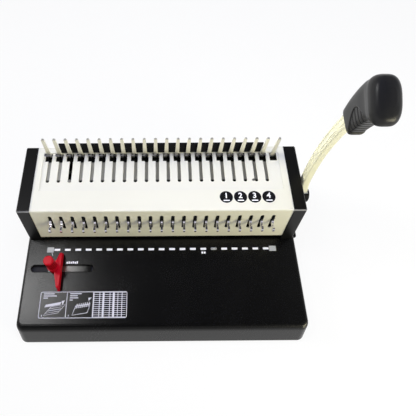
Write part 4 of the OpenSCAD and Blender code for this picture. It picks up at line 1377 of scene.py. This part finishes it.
@dataclass
class ReturnCoils:
    """Two springs on the guide posts, made as rigid coils; the press squeezes them as it comes
    down.
    """

    shop: Workshop
    radius: float = 4.6
    wire: float = 1.2
    turns: int = 5
    per_turn: int = 24
    sides: int = 10
    seat: float = 45.0
    keep: float = 0.49

    def build(self) -> None:
        """Make both springs in place of the rigid ones."""
        low, high = (Vector(corner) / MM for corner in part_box("return_springs"))
        rings = [self.ring(k, low.z, high.z) for k in range(self.turns * self.per_turn + 1)]
        coil = self.shop.loft("return_coils", rings)
        coil.data.shade_smooth()
        half = (high.x - low.x) / 2 - self.radius - self.wire / 2
        mid = (low + high) / 2
        self.shop.row(coil, 2, (mid.x - half, mid.y, 0.0), (2 * half, 0.0, 0.0), Finishes.SPRING)
        self.shop.hand_over(coil, Body.BASE, Slot.FASTENER_STEEL, Finishes.SPRING)
        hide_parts("return_springs")
        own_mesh(coil)

    def ring(self, index: int, low: float, high: float) -> list[Point]:
        """Give one ring of the wire.

        Args:
            index: Which ring, from the bottom.
            low: Height of the spring's bottom.
            high: Height of its top.

        Returns:
            Points round the wire.
        """
        turn = math.tau * index / self.per_turn
        half = self.wire / 2
        z = low + half + (high - low - self.wire) * index / (self.turns * self.per_turn)
        ring = []
        for angle in (math.tau * side / self.sides for side in range(self.sides)):
            out = self.radius + half * math.sin(angle)
            ring.append((out * math.cos(turn), out * math.sin(turn), z + half * math.cos(angle)))
        return ring


@dataclass(frozen=True)
class Lamp:
    """A square softbox."""

    name: str
    place: Point
    target: Point
    size: float
    power: float
    colour: Colour = (1.0, 1.0, 1.0)
    mirrored: bool = True
    spread: float = 180.0

    def hang(self) -> None:
        """Hang the lamp and point it at its target."""
        light = bpy.data.lights.new(self.name, "AREA")
        light.shape = "SQUARE"
        light.size = self.size
        light.energy = self.power
        light.color = self.colour
        light.spread = math.radians(self.spread)
        obj = linked(self.name, light)
        obj.location = self.place
        aim = Vector(self.target) - Vector(self.place)
        obj.rotation_euler = aim.to_track_quat("-Z", "Y").to_euler()
        obj.visible_glossy = self.mirrored


@dataclass
class Stage:
    """Floor, room light, lamps and camera."""

    floor_size: float = 8.0
    floor_tones: tuple[Colour, Colour] = ((0.86, 0.86, 0.78), (0.9, 0.9, 0.82))
    floor_grain: Noise = (30.0, 3.0)
    floor_glow: float = 0.86
    room: Stops = ((0.0, 0.24), (0.5, 0.28), (0.84, 0.33), (0.92, 0.04), (1.0, 0.015))
    backdrop: Stops = ((0.25, 1.0), (0.5, 0.0))
    eye: Point = (-0.0049, -0.1802, 0.5202)
    pitch: float = 63.94
    yaw: float = 0.39
    roll: float = 0.05
    lens: float = 32.69
    sensor: float = 36.0
    shift: float = 0.118
    nearest: float = 0.01
    lamps: tuple[Lamp, ...] = (
        Lamp("overhead softbox", (0.15, 0.25, 1.6), (0.0, 0.03, 0.05), size=0.9, power=11.6,
             colour=(0.90, 0.97, 1.52), mirrored=False),
        Lamp("side softbox", (-1.3, 0.45, 0.75), (0.19, 0.05, 0.18), size=0.6, power=1.05,
             colour=(1.0, 0.98, 0.90), mirrored=False, spread=35.0),
        Lamp("left softbox", (-0.62, 0.24, 1.23), (-0.1, -0.05, 0.03), size=0.32, power=3.4),
        Lamp("right fill", (0.75, -0.55, 0.42), (0.05, 0.0, 0.06), size=0.4, power=5.4,
             colour=(1.0, 0.94, 0.66)))

    def build(self) -> None:
        """Set up the stage."""
        bpy.context.scene.view_settings.view_transform = "Standard"
        self.floor()
        self.world()
        for lamp in self.lamps:
            lamp.hang()
        self.camera()

    def floor(self) -> None:
        """Lay a pale floor that is white to the camera and keeps a soft shadow."""
        half = self.floor_size / 2 / MM
        points = [(-half, -half, 0.0), (half, -half, 0.0), (half, half, 0.0), (-half, half, 0.0)]
        obj = Workshop.mesh("floor", points, [(0, 1, 2, 3)])
        tree = Shader("studio floor")
        tone = tree.mix(tree.noise(*self.floor_grain), *self.floor_tones)
        matt = tree.add("ShaderNodeBsdfDiffuse", inputs={"Color": tone})
        glow = tree.add("ShaderNodeEmission",
                        inputs={"Color": (1.0, 1.0, 1.0, 1.0), "Strength": 1.0})
        seen, mirrored, through = tree.rays()
        white = (seen + mirrored + through) * self.floor_glow
        blend = tree.add("ShaderNodeMixShader", inputs={0: white, 1: matt, 2: glow})
        tree.add("ShaderNodeOutputMaterial", inputs={"Surface": blend})
        obj.data.materials.append(tree.material)

    def world(self) -> None:
        """Fill the room with light that is weaker overhead, with a white backdrop all round."""
        world = bpy.data.worlds.new("studio")
        world.use_nodes = True
        tree = Tree(world.node_tree)
        place = tree.add("ShaderNodeTexCoord", out="Generated")
        height = tree.add("ShaderNodeSeparateXYZ", inputs={0: place}, out="Z")
        level = tree.ramp(height, self.room)
        seen, mirrored, through = tree.rays()
        white = seen + (mirrored + through) * tree.ramp(height, self.backdrop)
        light = tree.add("ShaderNodeBackground",
                         inputs={"Color": level * (1.0 - white) + white, "Strength": 1.0})
        tree.add("ShaderNodeOutputWorld", inputs={"Surface": light})
        bpy.context.scene.world = world

    def camera(self) -> None:
        """Set the camera where the photograph was taken."""
        data = bpy.data.cameras.new("camera")
        data.sensor_width = self.sensor
        data.lens = self.lens
        data.shift_x = self.shift
        data.clip_start = self.nearest
        obj = linked("camera", data)
        obj.location = self.eye
        turns = ((-self.yaw, "Z"), (90 - self.pitch, "X"), (-self.roll, "Z"))
        yaw, pitch, roll = (Matrix.Rotation(math.radians(turn), 4, axis) for turn, axis in turns)
        obj.rotation_euler = (yaw @ pitch @ roll).to_euler()
        bpy.context.scene.camera = obj


def main() -> None:
    """Set up the stage, dress the frame and build the sub-assemblies in order."""
    logging.basicConfig(level=logging.INFO, format="%(name)s: %(message)s")
    Stage().build()
    CadDress().dress()
    shop = Workshop()
    for assembly in (TrayMarks, TrayPanel, TopDiscs, GuideChannel, HandleGrip, ReturnCoils):
        assembly(shop).build()


if __name__ == "__main__":
    main()
